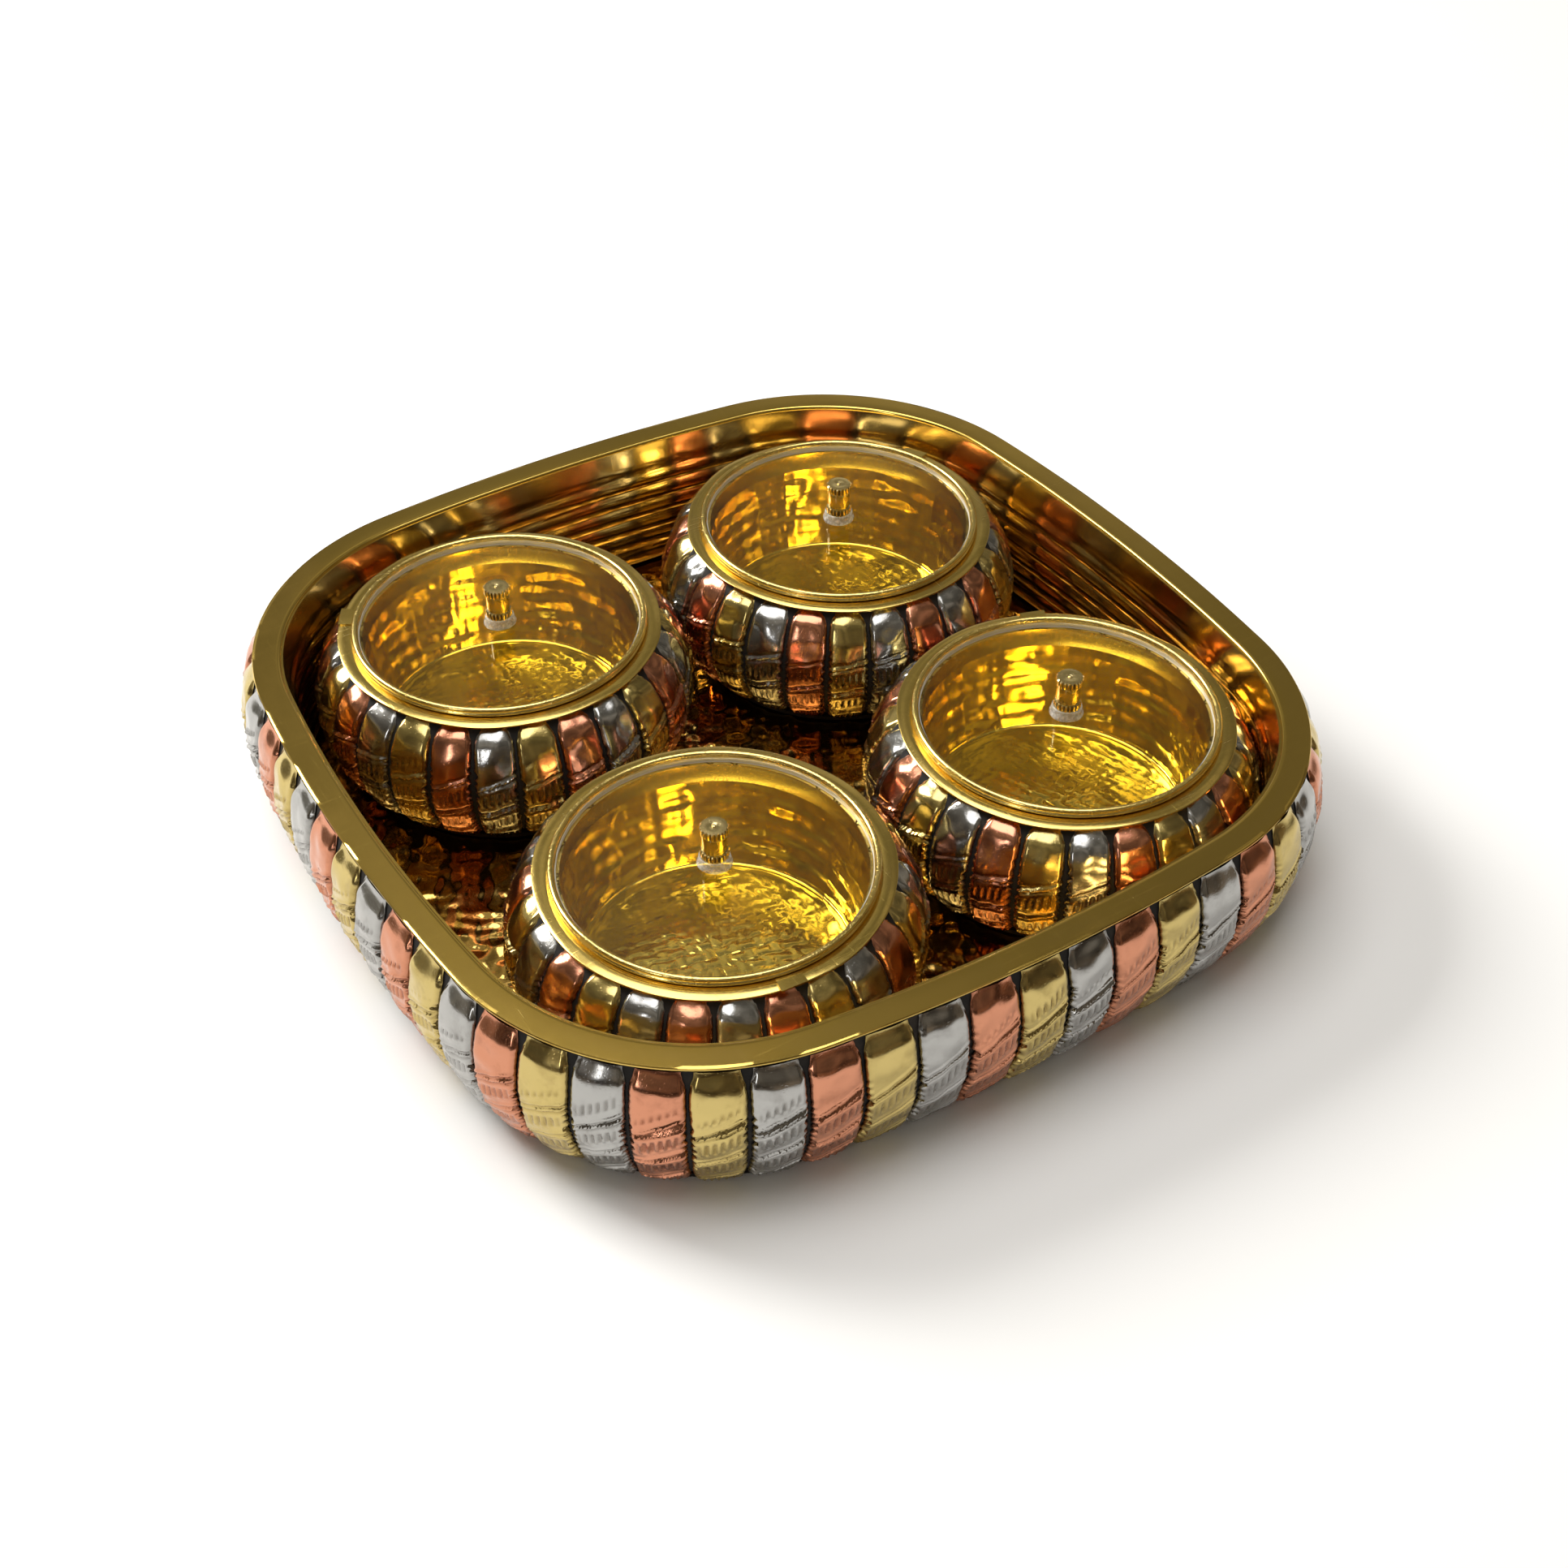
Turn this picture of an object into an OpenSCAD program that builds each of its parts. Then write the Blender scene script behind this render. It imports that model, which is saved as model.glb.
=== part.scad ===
// Spice box (masala dabba): a strip-clad brass tray with four lidded bowls.
// Millimetres, +Z up, origin on the ground under the middle of the tray.

/* [Tray] */
// Width of the tray over its brass rim, side to side
tray_w = 255; // [250:0.5:262]
// Height of the tray from the ground to the top of the rim
tray_h = 46; // [44:0.5:54]
// Radius of the four long sides, which bow outwards a little
side_r = 546; // [500:1:640]
// Radius of the four corners at the rim
corner_r = 72; // [68:0.5:74]
// Width of the flat brass rim
rim_w = 7.5; // [6.5:0.1:8]
// How far the strips bulge past the rim half way down
tray_bulge = 4.4; // [3:0.1:6]
// How far the foot of the tray is tucked in from the rim
tray_tuck = 4.8; // [3:0.1:6]
// Number of metal strips round the tray, in threes
tray_strips = 63; // [54:3:72]
// Number of ribs pressed into the inner wall
liner_ribs = 6; // [4:1:7]

/* [Bowls] */
// Distance between neighbouring bowls
bowl_pitch = 111; // [110:0.5:112]
// Largest radius of a bowl, over its strips
bowl_r = 53.6; // [52:0.1:53.8]
// Height of a bowl from its foot to the top of its flange
bowl_h = 42; // [40:0.1:43]
// Outer radius of the flat brass flange
flange_r = 45.6; // [44.5:0.1:46.5]
// Inner radius of the cup at its mouth
mouth_r = 40.8; // [40.6:0.1:41.5]
// Inner radius of the cup at its floor
cup_floor_r = 36.2; // [34:0.1:38]
// Height of the cup's floor above the bowl's foot
cup_floor_z = 8.8; // [6:0.1:12]
// Number of metal strips round a bowl
bowl_strips = 26; // [23:1:29]

/* [Lids] */
// Outer radius of the brass ring of a lid
ring_r = 41.7; // [41.5:0.1:42.5]
// Height of the ring above the flange that it rests on
ring_h = 2.4; // [2:0.1:3]
// Depth of the skirt that drops into the cup
skirt_depth = 6.5; // [4:0.1:9]
// Thickness of the clear disc
disc_t = 1.5; // [1:0.1:2]
// Diameter of the knob over its fluted ends
knob_d = 7.5; // [7:0.1:9]
// Height of the knob
knob_h = 9.7; // [8:0.1:12]

/* [Hidden] */
BRASS = "#b08d3c";
COPPER = "#b87458";
SILVER = "#bab7ae";
BLACK = "#26221e";
CLEAR = [0.93, 0.92, 0.88, 0.4];

// Strip metals in the order in which they follow each other, counter-clockwise
SILVER_K = 0;
COPPER_K = 1;
BRASS_K = 2;
TRAY_ORDER = [SILVER_K, COPPER_K, BRASS_K];
// Each bowl: how far it stands from its even place, the angle of its first strip and its order
BOWL_NUDGE = [[3.9, -1.8], [2.5, 4.5], [1.2, -2.6], [3.0, -1.2]];
BOWL_START = [-114, 75, -78, 74];
BOWL_ORDER = [
  [SILVER_K, COPPER_K, BRASS_K],
  [SILVER_K, BRASS_K, COPPER_K],
  [SILVER_K, COPPER_K, BRASS_K],
  [SILVER_K, COPPER_K, BRASS_K]
];
// Signs of X and Y of the corner in which each bowl stands
CORNER = [[-1, -1], [-1, 1], [1, 1], [1, -1]];

// Sheet and gap sizes
base_t = 1;
floor_t = 1;
rim_t = 0.8;
sheet_t = 0.7;
shell_t = 0.8;
strip_t = 1.2;
strip_gap = 1.7;
strip_air = 0.32;
strip_steps = 7;
strip_foot = 0.6;
strip_head = 0.1;
shell_steps = 9;
rib_steps = 4;
rim_lap = 0.8;
rib_depth = 0.9;
rib_band = 34;
foot_t = 1.2;
foot_tuck = 9.8;
foot_r = bowl_r - foot_tuck;
shoulder_tuck = 0.8;
foot_show = 1.4;
fine = 180;
side_steps = 6;
corner_steps = 16;

floor_z = base_t + floor_t;

// Plan of the tray: side arcs and corner arcs that meet on common tangents
half_w = tray_w / 2;
plan_b = side_r - half_w;
plan_c = plan_b * plan_b - pow(side_r - corner_r, 2);
corner_at = (-plan_b + sqrt(plan_b * plan_b - 2 * plan_c)) / 2;
side_turn = atan2(corner_at, corner_at + plan_b);
corner_turn = 90 - 2 * side_turn;

// Lengths round the strips at the bulge, where they are counted out
side_len = 2 * side_turn * PI / 180 * (side_r + tray_bulge);
corner_len = corner_turn * PI / 180 * (corner_r + tray_bulge);
quarter_len = side_len + corner_len;
round_len = 4 * quarter_len;
tray_pitch = round_len / tray_strips;

// Wall of the tray between its foot and its rim
wall_z0 = base_t;
wall_z1 = tray_h - rim_t;
wall_top_off = 0.8;

// Lid levels, measured from the top of the flange
disc_z = -0.5;
collar_h = 2.4;
knob_z = disc_z + disc_t + collar_h;

// Widths inside a lid, and the small sizes of its edges and of the knob
bead_w = 1.8;
seat_w = 0.5;
bead_edge = 0.5;
bead_round = 0.4;
step_air = 0.4;
disc_air = 0.2;
collar_foot = 0.85;
collar_neck = 0.35;
knob_end = 2.1;
knob_flutes = 20;
flute_r = 0.38;
flute_out = 0.1;
waist_share = 0.8;
pip_r = 0.5;
pip_h = 0.25;

// ---------------------------------------------------------------- profiles

// Centre of the circle through three points
function arc_centre(p) =
  let (
    a = p[0],
    b = p[1],
    c = p[2],
    d = 2 * (a.x * (b.y - c.y) + b.x * (c.y - a.y) + c.x * (a.y - b.y))
  )
  [
    (a * a * (b.y - c.y) + b * b * (c.y - a.y) + c * c * (a.y - b.y)) / d,
    (a * a * (c.x - b.x) + b * b * (a.x - c.x) + c * c * (b.x - a.x)) / d
  ];

// The three points of the tray's wall and of a bowl's wall, over the strips:
// in each, x is the offset or the radius and y is the height
TRAY_ARC = [
  [-tray_tuck, wall_z0],
  [tray_bulge, (wall_z0 + wall_z1) / 2],
  [wall_top_off, wall_z1]
];
BOWL_ARC = [
  [foot_r, foot_t],
  [bowl_r, (foot_t + bowl_h) / 2],
  [flange_r - shoulder_tuck, bowl_h - rim_t]
];

// Points from height z0 to height z1 on a wall's arc, at a depth under its face
function wall_points(arc, depth, z0, z1, steps) =
  let (
    o = arc_centre(arc),
    r = norm(arc[0] - o) - depth,
    from = asin((z0 - o.y) / r),
    to = asin((z1 - o.y) / r)
  )
  [
    for (i = [0:steps])
      o + r * [cos(from + (to - from) * i / steps), sin(from + (to - from) * i / steps)]
  ];

// The same points from the top down
function reversed(points) = [for (i = [len(points) - 1:-1:0]) points[i]];

// One layer of the tray's wall as a closed outline, counter-clockwise
function wall_layer(depth, t, z0, z1, steps) =
  concat(
    wall_points(TRAY_ARC, depth, z0, z1, steps),
    reversed(wall_points(TRAY_ARC, depth + t, z0, z1, steps))
  );

// One layer of a bowl's wall, with true arcs, ready to be turned
module bowl_layer(depth, t, z0, z1) {
  o = arc_centre(BOWL_ARC);
  r = norm(BOWL_ARC[0] - o) - depth;
  intersection() {
    translate(o)
      difference() {
        circle(r = r, $fn = fine);
        circle(r = r - t, $fn = fine);
      }
    translate([o.x, z0])
      square([r + 1, z1 - z0]);
  }
}

// ------------------------------------------------------------- tray outline

// Turns a flat point by a number of quarter turns
function quarter(p, q) = [
  p.x * cos(90 * q) - p.y * sin(90 * q),
  p.x * sin(90 * q) + p.y * cos(90 * q)
];

// Point of the plan at length s round the tray, off outside the rim's edge
function plan_point(s, off) =
  let (
    q = floor((s + side_len / 2) / quarter_len),
    u = s + side_len / 2 - q * quarter_len,
    on_side = u < side_len,
    turn = on_side
      ? side_turn * (2 * u / side_len - 1)
      : side_turn + corner_turn * (u - side_len) / corner_len,
    centre = on_side ? [half_w - side_r, 0] : [corner_at, corner_at],
    r = (on_side ? side_r : corner_r) + off
  )
  quarter(centre + r * [cos(turn), sin(turn)], q);

// Lengths at which the whole plan is drawn: few on a side, more on a corner
STATIONS = [
  for (q = [0:3])
    for (i = [0:side_steps + corner_steps - 1])
      (q - 0.5 * side_len / quarter_len) * quarter_len
      + (i < side_steps
        ? side_len * i / side_steps
        : side_len + corner_len * (i - side_steps) / corner_steps)
];

// Plan of the tray as a flat shape, offset from the rim's outer edge
module tray_plan(off) {
  polygon([for (s = STATIONS) plan_point(s, off)]);
}

// Sweeps a counter-clockwise outline of [offset, height] points along the plan. An open
// sweep needs a wall layer, whose two faces have as many points each, to close its ends.
module tray_sweep(outline, stations, closed) {
  m = len(outline);
  n = len(stations);
  spans = closed ? n : n - 1;
  sides = [
    for (i = [0:spans - 1])
      for (j = [0:m - 1])
        let (i2 = (i + 1) % n, j2 = (j + 1) % m)
        [i * m + j, i * m + j2, i2 * m + j2, i2 * m + j]
  ];
  last = (n - 1) * m;
  ends = [
    for (j = [0:m / 2 - 2])
      each [
        [m - 1 - j, m - 2 - j, j + 1, j],
        [last + j, last + j + 1, last + m - 2 - j, last + m - 1 - j]
      ]
  ];
  polyhedron(
    points = [
      for (s = stations)
        for (p = outline)
          let (at = plan_point(s, p.x))
          [at.x, at.y, p.y]
    ],
    faces = closed ? sides : concat(sides, ends)
  );
}

// --------------------------------------------------------------- tray pieces

// Black underside of the tray
module tray_base() {
  color(BLACK)
    linear_extrude(base_t)
      tray_plan(-tray_tuck - strip_t);
}

// Hammered brass sheet on which the bowls stand
module tray_floor() {
  color(BRASS)
    translate([0, 0, base_t])
      linear_extrude(floor_t)
        tray_plan(-rim_w - rim_lap);
}

// Black sheet carcass of the wall, which shows between the strips
module tray_shell() {
  color(BLACK)
    tray_sweep(wall_layer(strip_t + strip_air, shell_t, wall_z0, wall_z1, shell_steps), STATIONS, true);
}

// Ribbed brass lining of the wall
module tray_liner() {
  back = -rim_w - rim_lap;
  ribs = [
    for (i = [0:liner_ribs * rib_steps])
      [
        back - sheet_t - rib_depth * sin(180 * (i % rib_steps) / rib_steps),
        floor_z + rib_band * i / (liner_ribs * rib_steps)
      ]
  ];
  color(BRASS)
    tray_sweep(
      concat(
        [[back, floor_z], [back, wall_z1], [back - sheet_t, wall_z1]],
        reversed(ribs)
      ),
      STATIONS, true);
}

// Flat brass rim over the top of the wall
module tray_rim() {
  color(BRASS)
    translate([0, 0, wall_z1])
      linear_extrude(rim_t)
        difference() {
          tray_plan(0);
          tray_plan(-rim_w - rim_lap - sheet_t);
        }
}

// The strips of one metal round the tray
module tray_strip_set(metal) {
  half = (tray_pitch - strip_gap) / 2;
  band = wall_layer(0, strip_t, wall_z0 + strip_foot, wall_z1 - strip_head, strip_steps);
  for (k = [0:tray_strips - 1])
    if (TRAY_ORDER[k % 3] == metal)
      tray_sweep(band, [for (i = [-1:1]) k * tray_pitch + half * i], false);
}

module tray_strips_silver() {
  color(SILVER)
    tray_strip_set(SILVER_K);
}

module tray_strips_copper() {
  color(COPPER)
    tray_strip_set(COPPER_K);
}

module tray_strips_brass() {
  color(BRASS)
    tray_strip_set(BRASS_K);
}

// --------------------------------------------------------------- bowl pieces

// Moves a bowl's or a lid's pieces to where bowl n stands
module at_bowl(n, z = 0) {
  x = CORNER[n - 1].x * bowl_pitch / 2 + BOWL_NUDGE[n - 1].x;
  y = CORNER[n - 1].y * bowl_pitch / 2 + BOWL_NUDGE[n - 1].y;
  translate([x, y, floor_z + z])
    children();
}

// Black disc that closes the bowl underneath
module foot(n) {
  color(BLACK)
    at_bowl(n)
      cylinder(r = foot_r, h = foot_t, $fn = fine);
}

// Black sheet carcass behind the strips
module shell(n) {
  color(BLACK)
    at_bowl(n)
      rotate_extrude($fn = fine)
        bowl_layer(strip_t, shell_t, foot_t, bowl_h - rim_t);
}

// Brass cup that holds the spice
module cup(n) {
  top = bowl_h - rim_t;
  color(BRASS)
    at_bowl(n)
      rotate_extrude($fn = fine)
        polygon([
          [0, cup_floor_z - sheet_t],
          [cup_floor_r + sheet_t, cup_floor_z - sheet_t],
          [mouth_r + sheet_t, top],
          [mouth_r, top],
          [cup_floor_r, cup_floor_z],
          [0, cup_floor_z]
        ]);
}

// Flat brass ring between the cup's mouth and the strips
module flange(n) {
  color(BRASS)
    at_bowl(n, bowl_h - rim_t)
      difference() {
        cylinder(r = flange_r, h = rim_t, $fn = fine);
        translate([0, 0, -1])
          cylinder(r = mouth_r, h = rim_t + 2, $fn = fine);
      }
}

// The strips of one metal round bowl n
module bowl_strip_set(n, metal) {
  pitch = 360 / bowl_strips;
  gap = strip_gap / bowl_r * 180 / PI;
  at_bowl(n)
    for (k = [0:bowl_strips - 1])
      if (BOWL_ORDER[n - 1][k % 3] == metal)
        rotate([0, 0, BOWL_START[n - 1] + pitch * k - (pitch - gap) / 2])
          rotate_extrude(angle = pitch - gap, $fn = fine)
            bowl_layer(0, strip_t, foot_t + foot_show, bowl_h - rim_t - strip_head);
}

module strips_silver(n) {
  color(SILVER)
    bowl_strip_set(n, SILVER_K);
}

module strips_copper(n) {
  color(COPPER)
    bowl_strip_set(n, COPPER_K);
}

module strips_brass(n) {
  color(BRASS)
    bowl_strip_set(n, BRASS_K);
}

// ---------------------------------------------------------------- lid pieces

// Brass ring with a bead on the flange, a seat for the disc and a skirt
module ring(n) {
  seat_r = ring_r - bead_w;
  step_r = mouth_r - step_air;
  skirt_r = seat_r - seat_w;
  color(BRASS)
    at_bowl(n, bowl_h)
      rotate_extrude($fn = fine)
        polygon([
          [seat_r, disc_z],
          [skirt_r - sheet_t, disc_z],
          [skirt_r - sheet_t, -skirt_depth],
          [skirt_r, -skirt_depth],
          [skirt_r, disc_z - sheet_t],
          [step_r, disc_z - sheet_t],
          [step_r, 0],
          [ring_r - bead_edge, 0],
          [ring_r, bead_edge],
          [ring_r, ring_h - bead_edge],
          [ring_r - bead_round, ring_h],
          [seat_r + bead_round, ring_h],
          [seat_r, ring_h - bead_round]
        ]);
}

// Clear acrylic disc that sits in the ring
module disc(n) {
  color(CLEAR)
    at_bowl(n, bowl_h + disc_z)
      cylinder(r = ring_r - bead_w - disc_air, h = disc_t, $fn = fine);
}

// Clear bonding collar under the knob
module collar(n) {
  color(CLEAR)
    at_bowl(n, bowl_h + disc_z + disc_t)
      cylinder(
        r1 = knob_d / 2 + collar_foot,
        r2 = knob_d / 2 + collar_neck,
        h = collar_h,
        $fn = 96
      );
}

// A fluted end of the knob
module fluted_end(h) {
  linear_extrude(h)
    difference() {
      circle(d = knob_d, $fn = 96);
      for (i = [0:knob_flutes - 1])
        rotate([0, 0, 360 / knob_flutes * i])
          translate([knob_d / 2 + flute_out, 0])
            circle(r = flute_r, $fn = 16);
    }
}

// Turned brass knob with two fluted ends, a plain waist and a centre pip
module knob(n) {
  color(BRASS)
    at_bowl(n, bowl_h + knob_z)
      union() {
        fluted_end(knob_end);
        cylinder(d = knob_d * waist_share, h = knob_h, $fn = 96);
        translate([0, 0, knob_h - knob_end])
          fluted_end(knob_end);
        cylinder(r = pip_r, h = knob_h + pip_h, $fn = 32);
      }
}

BOWL_PIECES = [
  "cup", "flange", "shell", "foot", "strips_silver", "strips_copper", "strips_brass"
];
LID_PIECES = ["ring", "disc", "collar", "knob"];

tray_base();
tray_floor();
tray_shell();
tray_liner();
tray_rim();
tray_strips_silver();
tray_strips_copper();
tray_strips_brass();
for (n = [1:4]) {
  cup(n);
  flange(n);
  shell(n);
  foot(n);
  strips_silver(n);
  strips_copper(n);
  strips_brass(n);
  ring(n);
  disc(n);
  collar(n);
  knob(n);
}
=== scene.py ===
"""Looks of a brass spice box: a strip-clad tray with four bowls and their clear lids.

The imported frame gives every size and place. Each sub-assembly is a class that builds its
pieces around the frame and dresses them, and each finish is a small class of its own.
"""

import logging
import math
from dataclasses import dataclass
from enum import Enum
from typing import Any, Callable, Protocol

import bpy
import numpy as np
from mathutils import Matrix, Vector


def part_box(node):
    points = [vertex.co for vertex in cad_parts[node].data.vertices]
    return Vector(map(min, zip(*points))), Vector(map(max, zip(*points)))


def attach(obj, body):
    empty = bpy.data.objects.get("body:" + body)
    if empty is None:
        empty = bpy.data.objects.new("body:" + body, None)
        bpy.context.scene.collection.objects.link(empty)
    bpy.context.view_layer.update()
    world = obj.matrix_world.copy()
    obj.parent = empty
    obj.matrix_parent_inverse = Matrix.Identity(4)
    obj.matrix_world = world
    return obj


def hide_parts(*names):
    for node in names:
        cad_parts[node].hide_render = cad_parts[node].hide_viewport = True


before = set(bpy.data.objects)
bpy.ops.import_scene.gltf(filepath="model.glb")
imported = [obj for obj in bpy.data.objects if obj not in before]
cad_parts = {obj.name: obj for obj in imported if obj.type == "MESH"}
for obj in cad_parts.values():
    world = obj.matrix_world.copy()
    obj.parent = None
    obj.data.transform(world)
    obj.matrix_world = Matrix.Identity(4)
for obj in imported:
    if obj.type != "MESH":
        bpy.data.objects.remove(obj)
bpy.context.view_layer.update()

LOG = logging.getLogger("spice_box")
MM = 0.001
Array = np.ndarray
Colour = tuple[float, float, float]
Placer = Callable[[Array, Array], Array]


# ------------------------------------------------------------------ small helpers


class Metal(Enum):
    """The three metals of the strips."""

    SILVER = "silver"
    COPPER = "copper"
    BRASS = "brass"


def smooth_step(low: float, high: float, value: Array) -> Array:
    """Rises smoothly from 0 at low to 1 at high.

    Args:
        low: Value at which the step starts.
        high: Value at which it ends.
        value: Values to look up.

    Returns:
        The step's height at each value.
    """
    t = np.clip((value - low) / (high - low), 0.0, 1.0)
    return t * t * (3.0 - 2.0 * t)


def ripple(turn: Array, waves: tuple[int, ...], rng: np.random.Generator) -> Array:
    """An uneven wave that closes on itself over one turn.

    Args:
        turn: Place round the turn, from 0 to 1.
        waves: How many times each part of the wave repeats in a turn.
        rng: Source of the phases and weights.

    Returns:
        The wave's height, roughly from -1 to 1.
    """
    total = np.zeros_like(turn)
    for count in waves:
        phase = rng.uniform(0.0, 2.0 * math.pi)
        total += rng.uniform(0.5, 1.0) * np.sin(2.0 * math.pi * count * turn + phase)
    return total / max(1, len(waves))


def hammer_marks(x: Array, y: Array, pitch: float, rng: np.random.Generator) -> Array:
    """Shallow hollows with soft ridges between them, as a hammer leaves.

    Args:
        x: First coordinate of each point.
        y: Second coordinate of each point.
        pitch: Usual distance between two hammer blows.
        rng: Source of the places of the blows.

    Returns:
        Height from 0 in the middle of a hollow to about 1 on a ridge.
    """
    xs = np.arange(x.min() - pitch, x.max() + 2.0 * pitch, pitch)
    ys = np.arange(y.min() - pitch, y.max() + 2.0 * pitch, pitch)
    gx, gy = np.meshgrid(xs, ys)
    blows = np.stack([gx.ravel(), gy.ravel()], axis=1)
    blows += rng.uniform(-0.42, 0.42, blows.shape) * pitch
    near = np.empty(x.size)
    flat = np.stack([x.ravel(), y.ravel()], axis=1)
    block = 4000
    for start in range(0, flat.shape[0], block):
        part = flat[start : start + block]
        away = ((part[:, None, :] - blows[None, :, :]) ** 2).sum(axis=2) / pitch**2
        near[start : start + block] = -np.log(np.exp(-9.0 * away).sum(axis=1)) / 9.0
    return np.clip(near * 2.2, -0.5, 1.5).reshape(x.shape)


def activate(piece: bpy.types.Object) -> None:
    """Selects one piece alone and makes it active."""
    bpy.ops.object.select_all(action="DESELECT")
    piece.select_set(True)
    bpy.context.view_layer.objects.active = piece


def edit_all(piece: bpy.types.Object, *steps: Callable[[], Any]) -> None:
    """Runs edit-mode operators on everything in a piece.

    Args:
        piece: The piece to edit.
        *steps: Operators, each as a call without arguments.
    """
    activate(piece)
    bpy.ops.object.mode_set(mode="EDIT")
    bpy.ops.mesh.select_all(action="SELECT")
    for step in steps:
        step()
    bpy.ops.object.mode_set(mode="OBJECT")


def points_of(piece: bpy.types.Object) -> Array:
    """The places of a piece's vertices, one row each."""
    flat = np.empty(len(piece.data.vertices) * 3)
    piece.data.vertices.foreach_get("co", flat)
    return flat.reshape(-1, 3)


def move_points(piece: bpy.types.Object, places: Array) -> None:
    """Puts each vertex of a piece at its new place."""
    piece.data.vertices.foreach_set("co", places.ravel())
    piece.data.update()


def round_places(piece: bpy.types.Object, centre: Vector) -> tuple[Array, Array, Array]:
    """Looks at a piece's points as they lie round an upright axis.

    Args:
        piece: The piece.
        centre: Any point of the axis.

    Returns:
        The places, their distances from the axis in millimetres, and their angles round it.
    """
    places = points_of(piece)
    x, y = places[:, 0] - centre.x, places[:, 1] - centre.y
    return places, np.hypot(x, y) / MM, np.arctan2(y, x)


def spread(places: Array, centre: Vector, grow: Array) -> None:
    """Moves places away from an upright axis.

    Args:
        places: The places, changed where they stand.
        centre: Any point of the axis.
        grow: Factor on each place's distance from the axis.
    """
    for axis in (0, 1):
        places[:, axis] = centre[axis] + (places[:, axis] - centre[axis]) * grow


def mark_points(piece: bpy.types.Object, marks: Array) -> None:
    """Stores how far each point of a piece lies in a hollow or on a turned-down edge, which its finish
    darkens as painted shade.
    """
    attribute = piece.data.attributes.new("pressed", "FLOAT", "POINT")
    attribute.data.foreach_set("value", marks)


def shaped_grid(name: str, across: int, along: int, place: Placer) -> bpy.types.Object:
    """Adds a grid and takes each of its points to its place on a surface.

    Args:
        name: Name of the new piece.
        across: Number of faces in the first direction.
        along: Number of faces in the second direction.
        place: Gives the places for two arrays of grid steps.

    Returns:
        The new piece, at the origin.
    """
    bpy.ops.object.select_all(action="DESELECT")
    bpy.ops.mesh.primitive_grid_add(x_subdivisions=across, y_subdivisions=along, size=2.0)
    piece = bpy.context.object
    piece.name = name
    piece.data.name = name
    grid = points_of(piece)
    i = np.rint((grid[:, 0] + 1.0) / 2.0 * across).astype(int)
    j = np.rint((grid[:, 1] + 1.0) / 2.0 * along).astype(int)
    move_points(piece, place(i, j))
    return piece


def weld(piece: bpy.types.Object, reach: float = 0.002 * MM) -> None:
    """Merges the points that meet at a piece's seams and turns its faces outwards."""
    edit_all(
        piece,
        lambda: bpy.ops.mesh.remove_doubles(threshold=reach),
        lambda: bpy.ops.mesh.normals_make_consistent(inside=False),
    )


def close_holes() -> None:
    """Closes every open edge loop of the piece being edited, and turns its faces outwards."""
    bpy.ops.mesh.select_mode(type="EDGE")
    bpy.ops.mesh.select_all(action="DESELECT")
    bpy.ops.mesh.select_non_manifold()
    bpy.ops.mesh.fill_holes(sides=0)
    bpy.ops.mesh.select_mode(type="VERT")
    bpy.ops.mesh.select_all(action="SELECT")
    bpy.ops.mesh.normals_make_consistent(inside=False)


def turned(
    name: str, centre: Vector, profile: list[tuple[float, float]], steps: int
) -> bpy.types.Object:
    """Turns a closed outline into a ring by extruding a circle round it.

    Args:
        name: Name of the new piece.
        centre: Point on the axis from which heights are counted.
        profile: Outline as radius and height, in millimetres; a radius of 0 closes a pole.
        steps: Number of points round the circle.

    Returns:
        The new piece, at the origin.
    """
    start_r, start_z = profile[0]
    tiny = 0.001
    bpy.ops.object.select_all(action="DESELECT")
    bpy.ops.mesh.primitive_circle_add(
        vertices=steps,
        radius=max(start_r, tiny) * MM,
        location=centre + Vector((0.0, 0.0, start_z * MM)),
    )
    piece = bpy.context.object
    piece.name = name
    piece.data.name = name
    bpy.ops.object.transform_apply(location=True, rotation=False, scale=False)
    bpy.ops.object.mode_set(mode="EDIT")
    bpy.ops.mesh.select_all(action="SELECT")
    open_ends = start_r == 0.0
    outline = profile[1:] if open_ends else profile[1:] + profile[:1]
    radius, height = max(start_r, tiny), start_z
    for next_r, next_z in outline:
        bpy.ops.mesh.extrude_region_move(
            TRANSFORM_OT_translate={"value": (0.0, 0.0, (next_z - height) * MM)}
        )
        grow = max(next_r, tiny) / radius
        bpy.ops.transform.resize(
            value=(grow, grow, 1.0),
            center_override=centre + Vector((0.0, 0.0, next_z * MM)),
        )
        radius, height = max(next_r, tiny), next_z
    bpy.ops.mesh.select_all(action="SELECT")
    bpy.ops.mesh.remove_doubles(threshold=0.003 * MM)
    bpy.ops.mesh.normals_make_consistent(inside=False)
    bpy.ops.object.mode_set(mode="OBJECT")
    return piece


def apply_modifier(piece: bpy.types.Object, kind: str, **values: Any) -> None:
    """Adds a modifier with its values and applies it.

    Args:
        piece: The piece to change.
        kind: Blender's name for the modifier's type.
        **values: The modifier's settings.
    """
    activate(piece)
    modifier = piece.modifiers.new(kind.title(), kind)
    for name, value in values.items():
        setattr(modifier, name, value)
    bpy.ops.object.modifier_apply(modifier=modifier.name)


def smooth(piece: bpy.types.Object, angle: float = 180.0) -> None:
    """Shades a piece smooth, apart from edges sharper than an angle in degrees."""
    activate(piece)
    if angle < 180.0:
        bpy.ops.object.shade_smooth_by_angle(angle=math.radians(angle))
    else:
        bpy.ops.object.shade_smooth()


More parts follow.
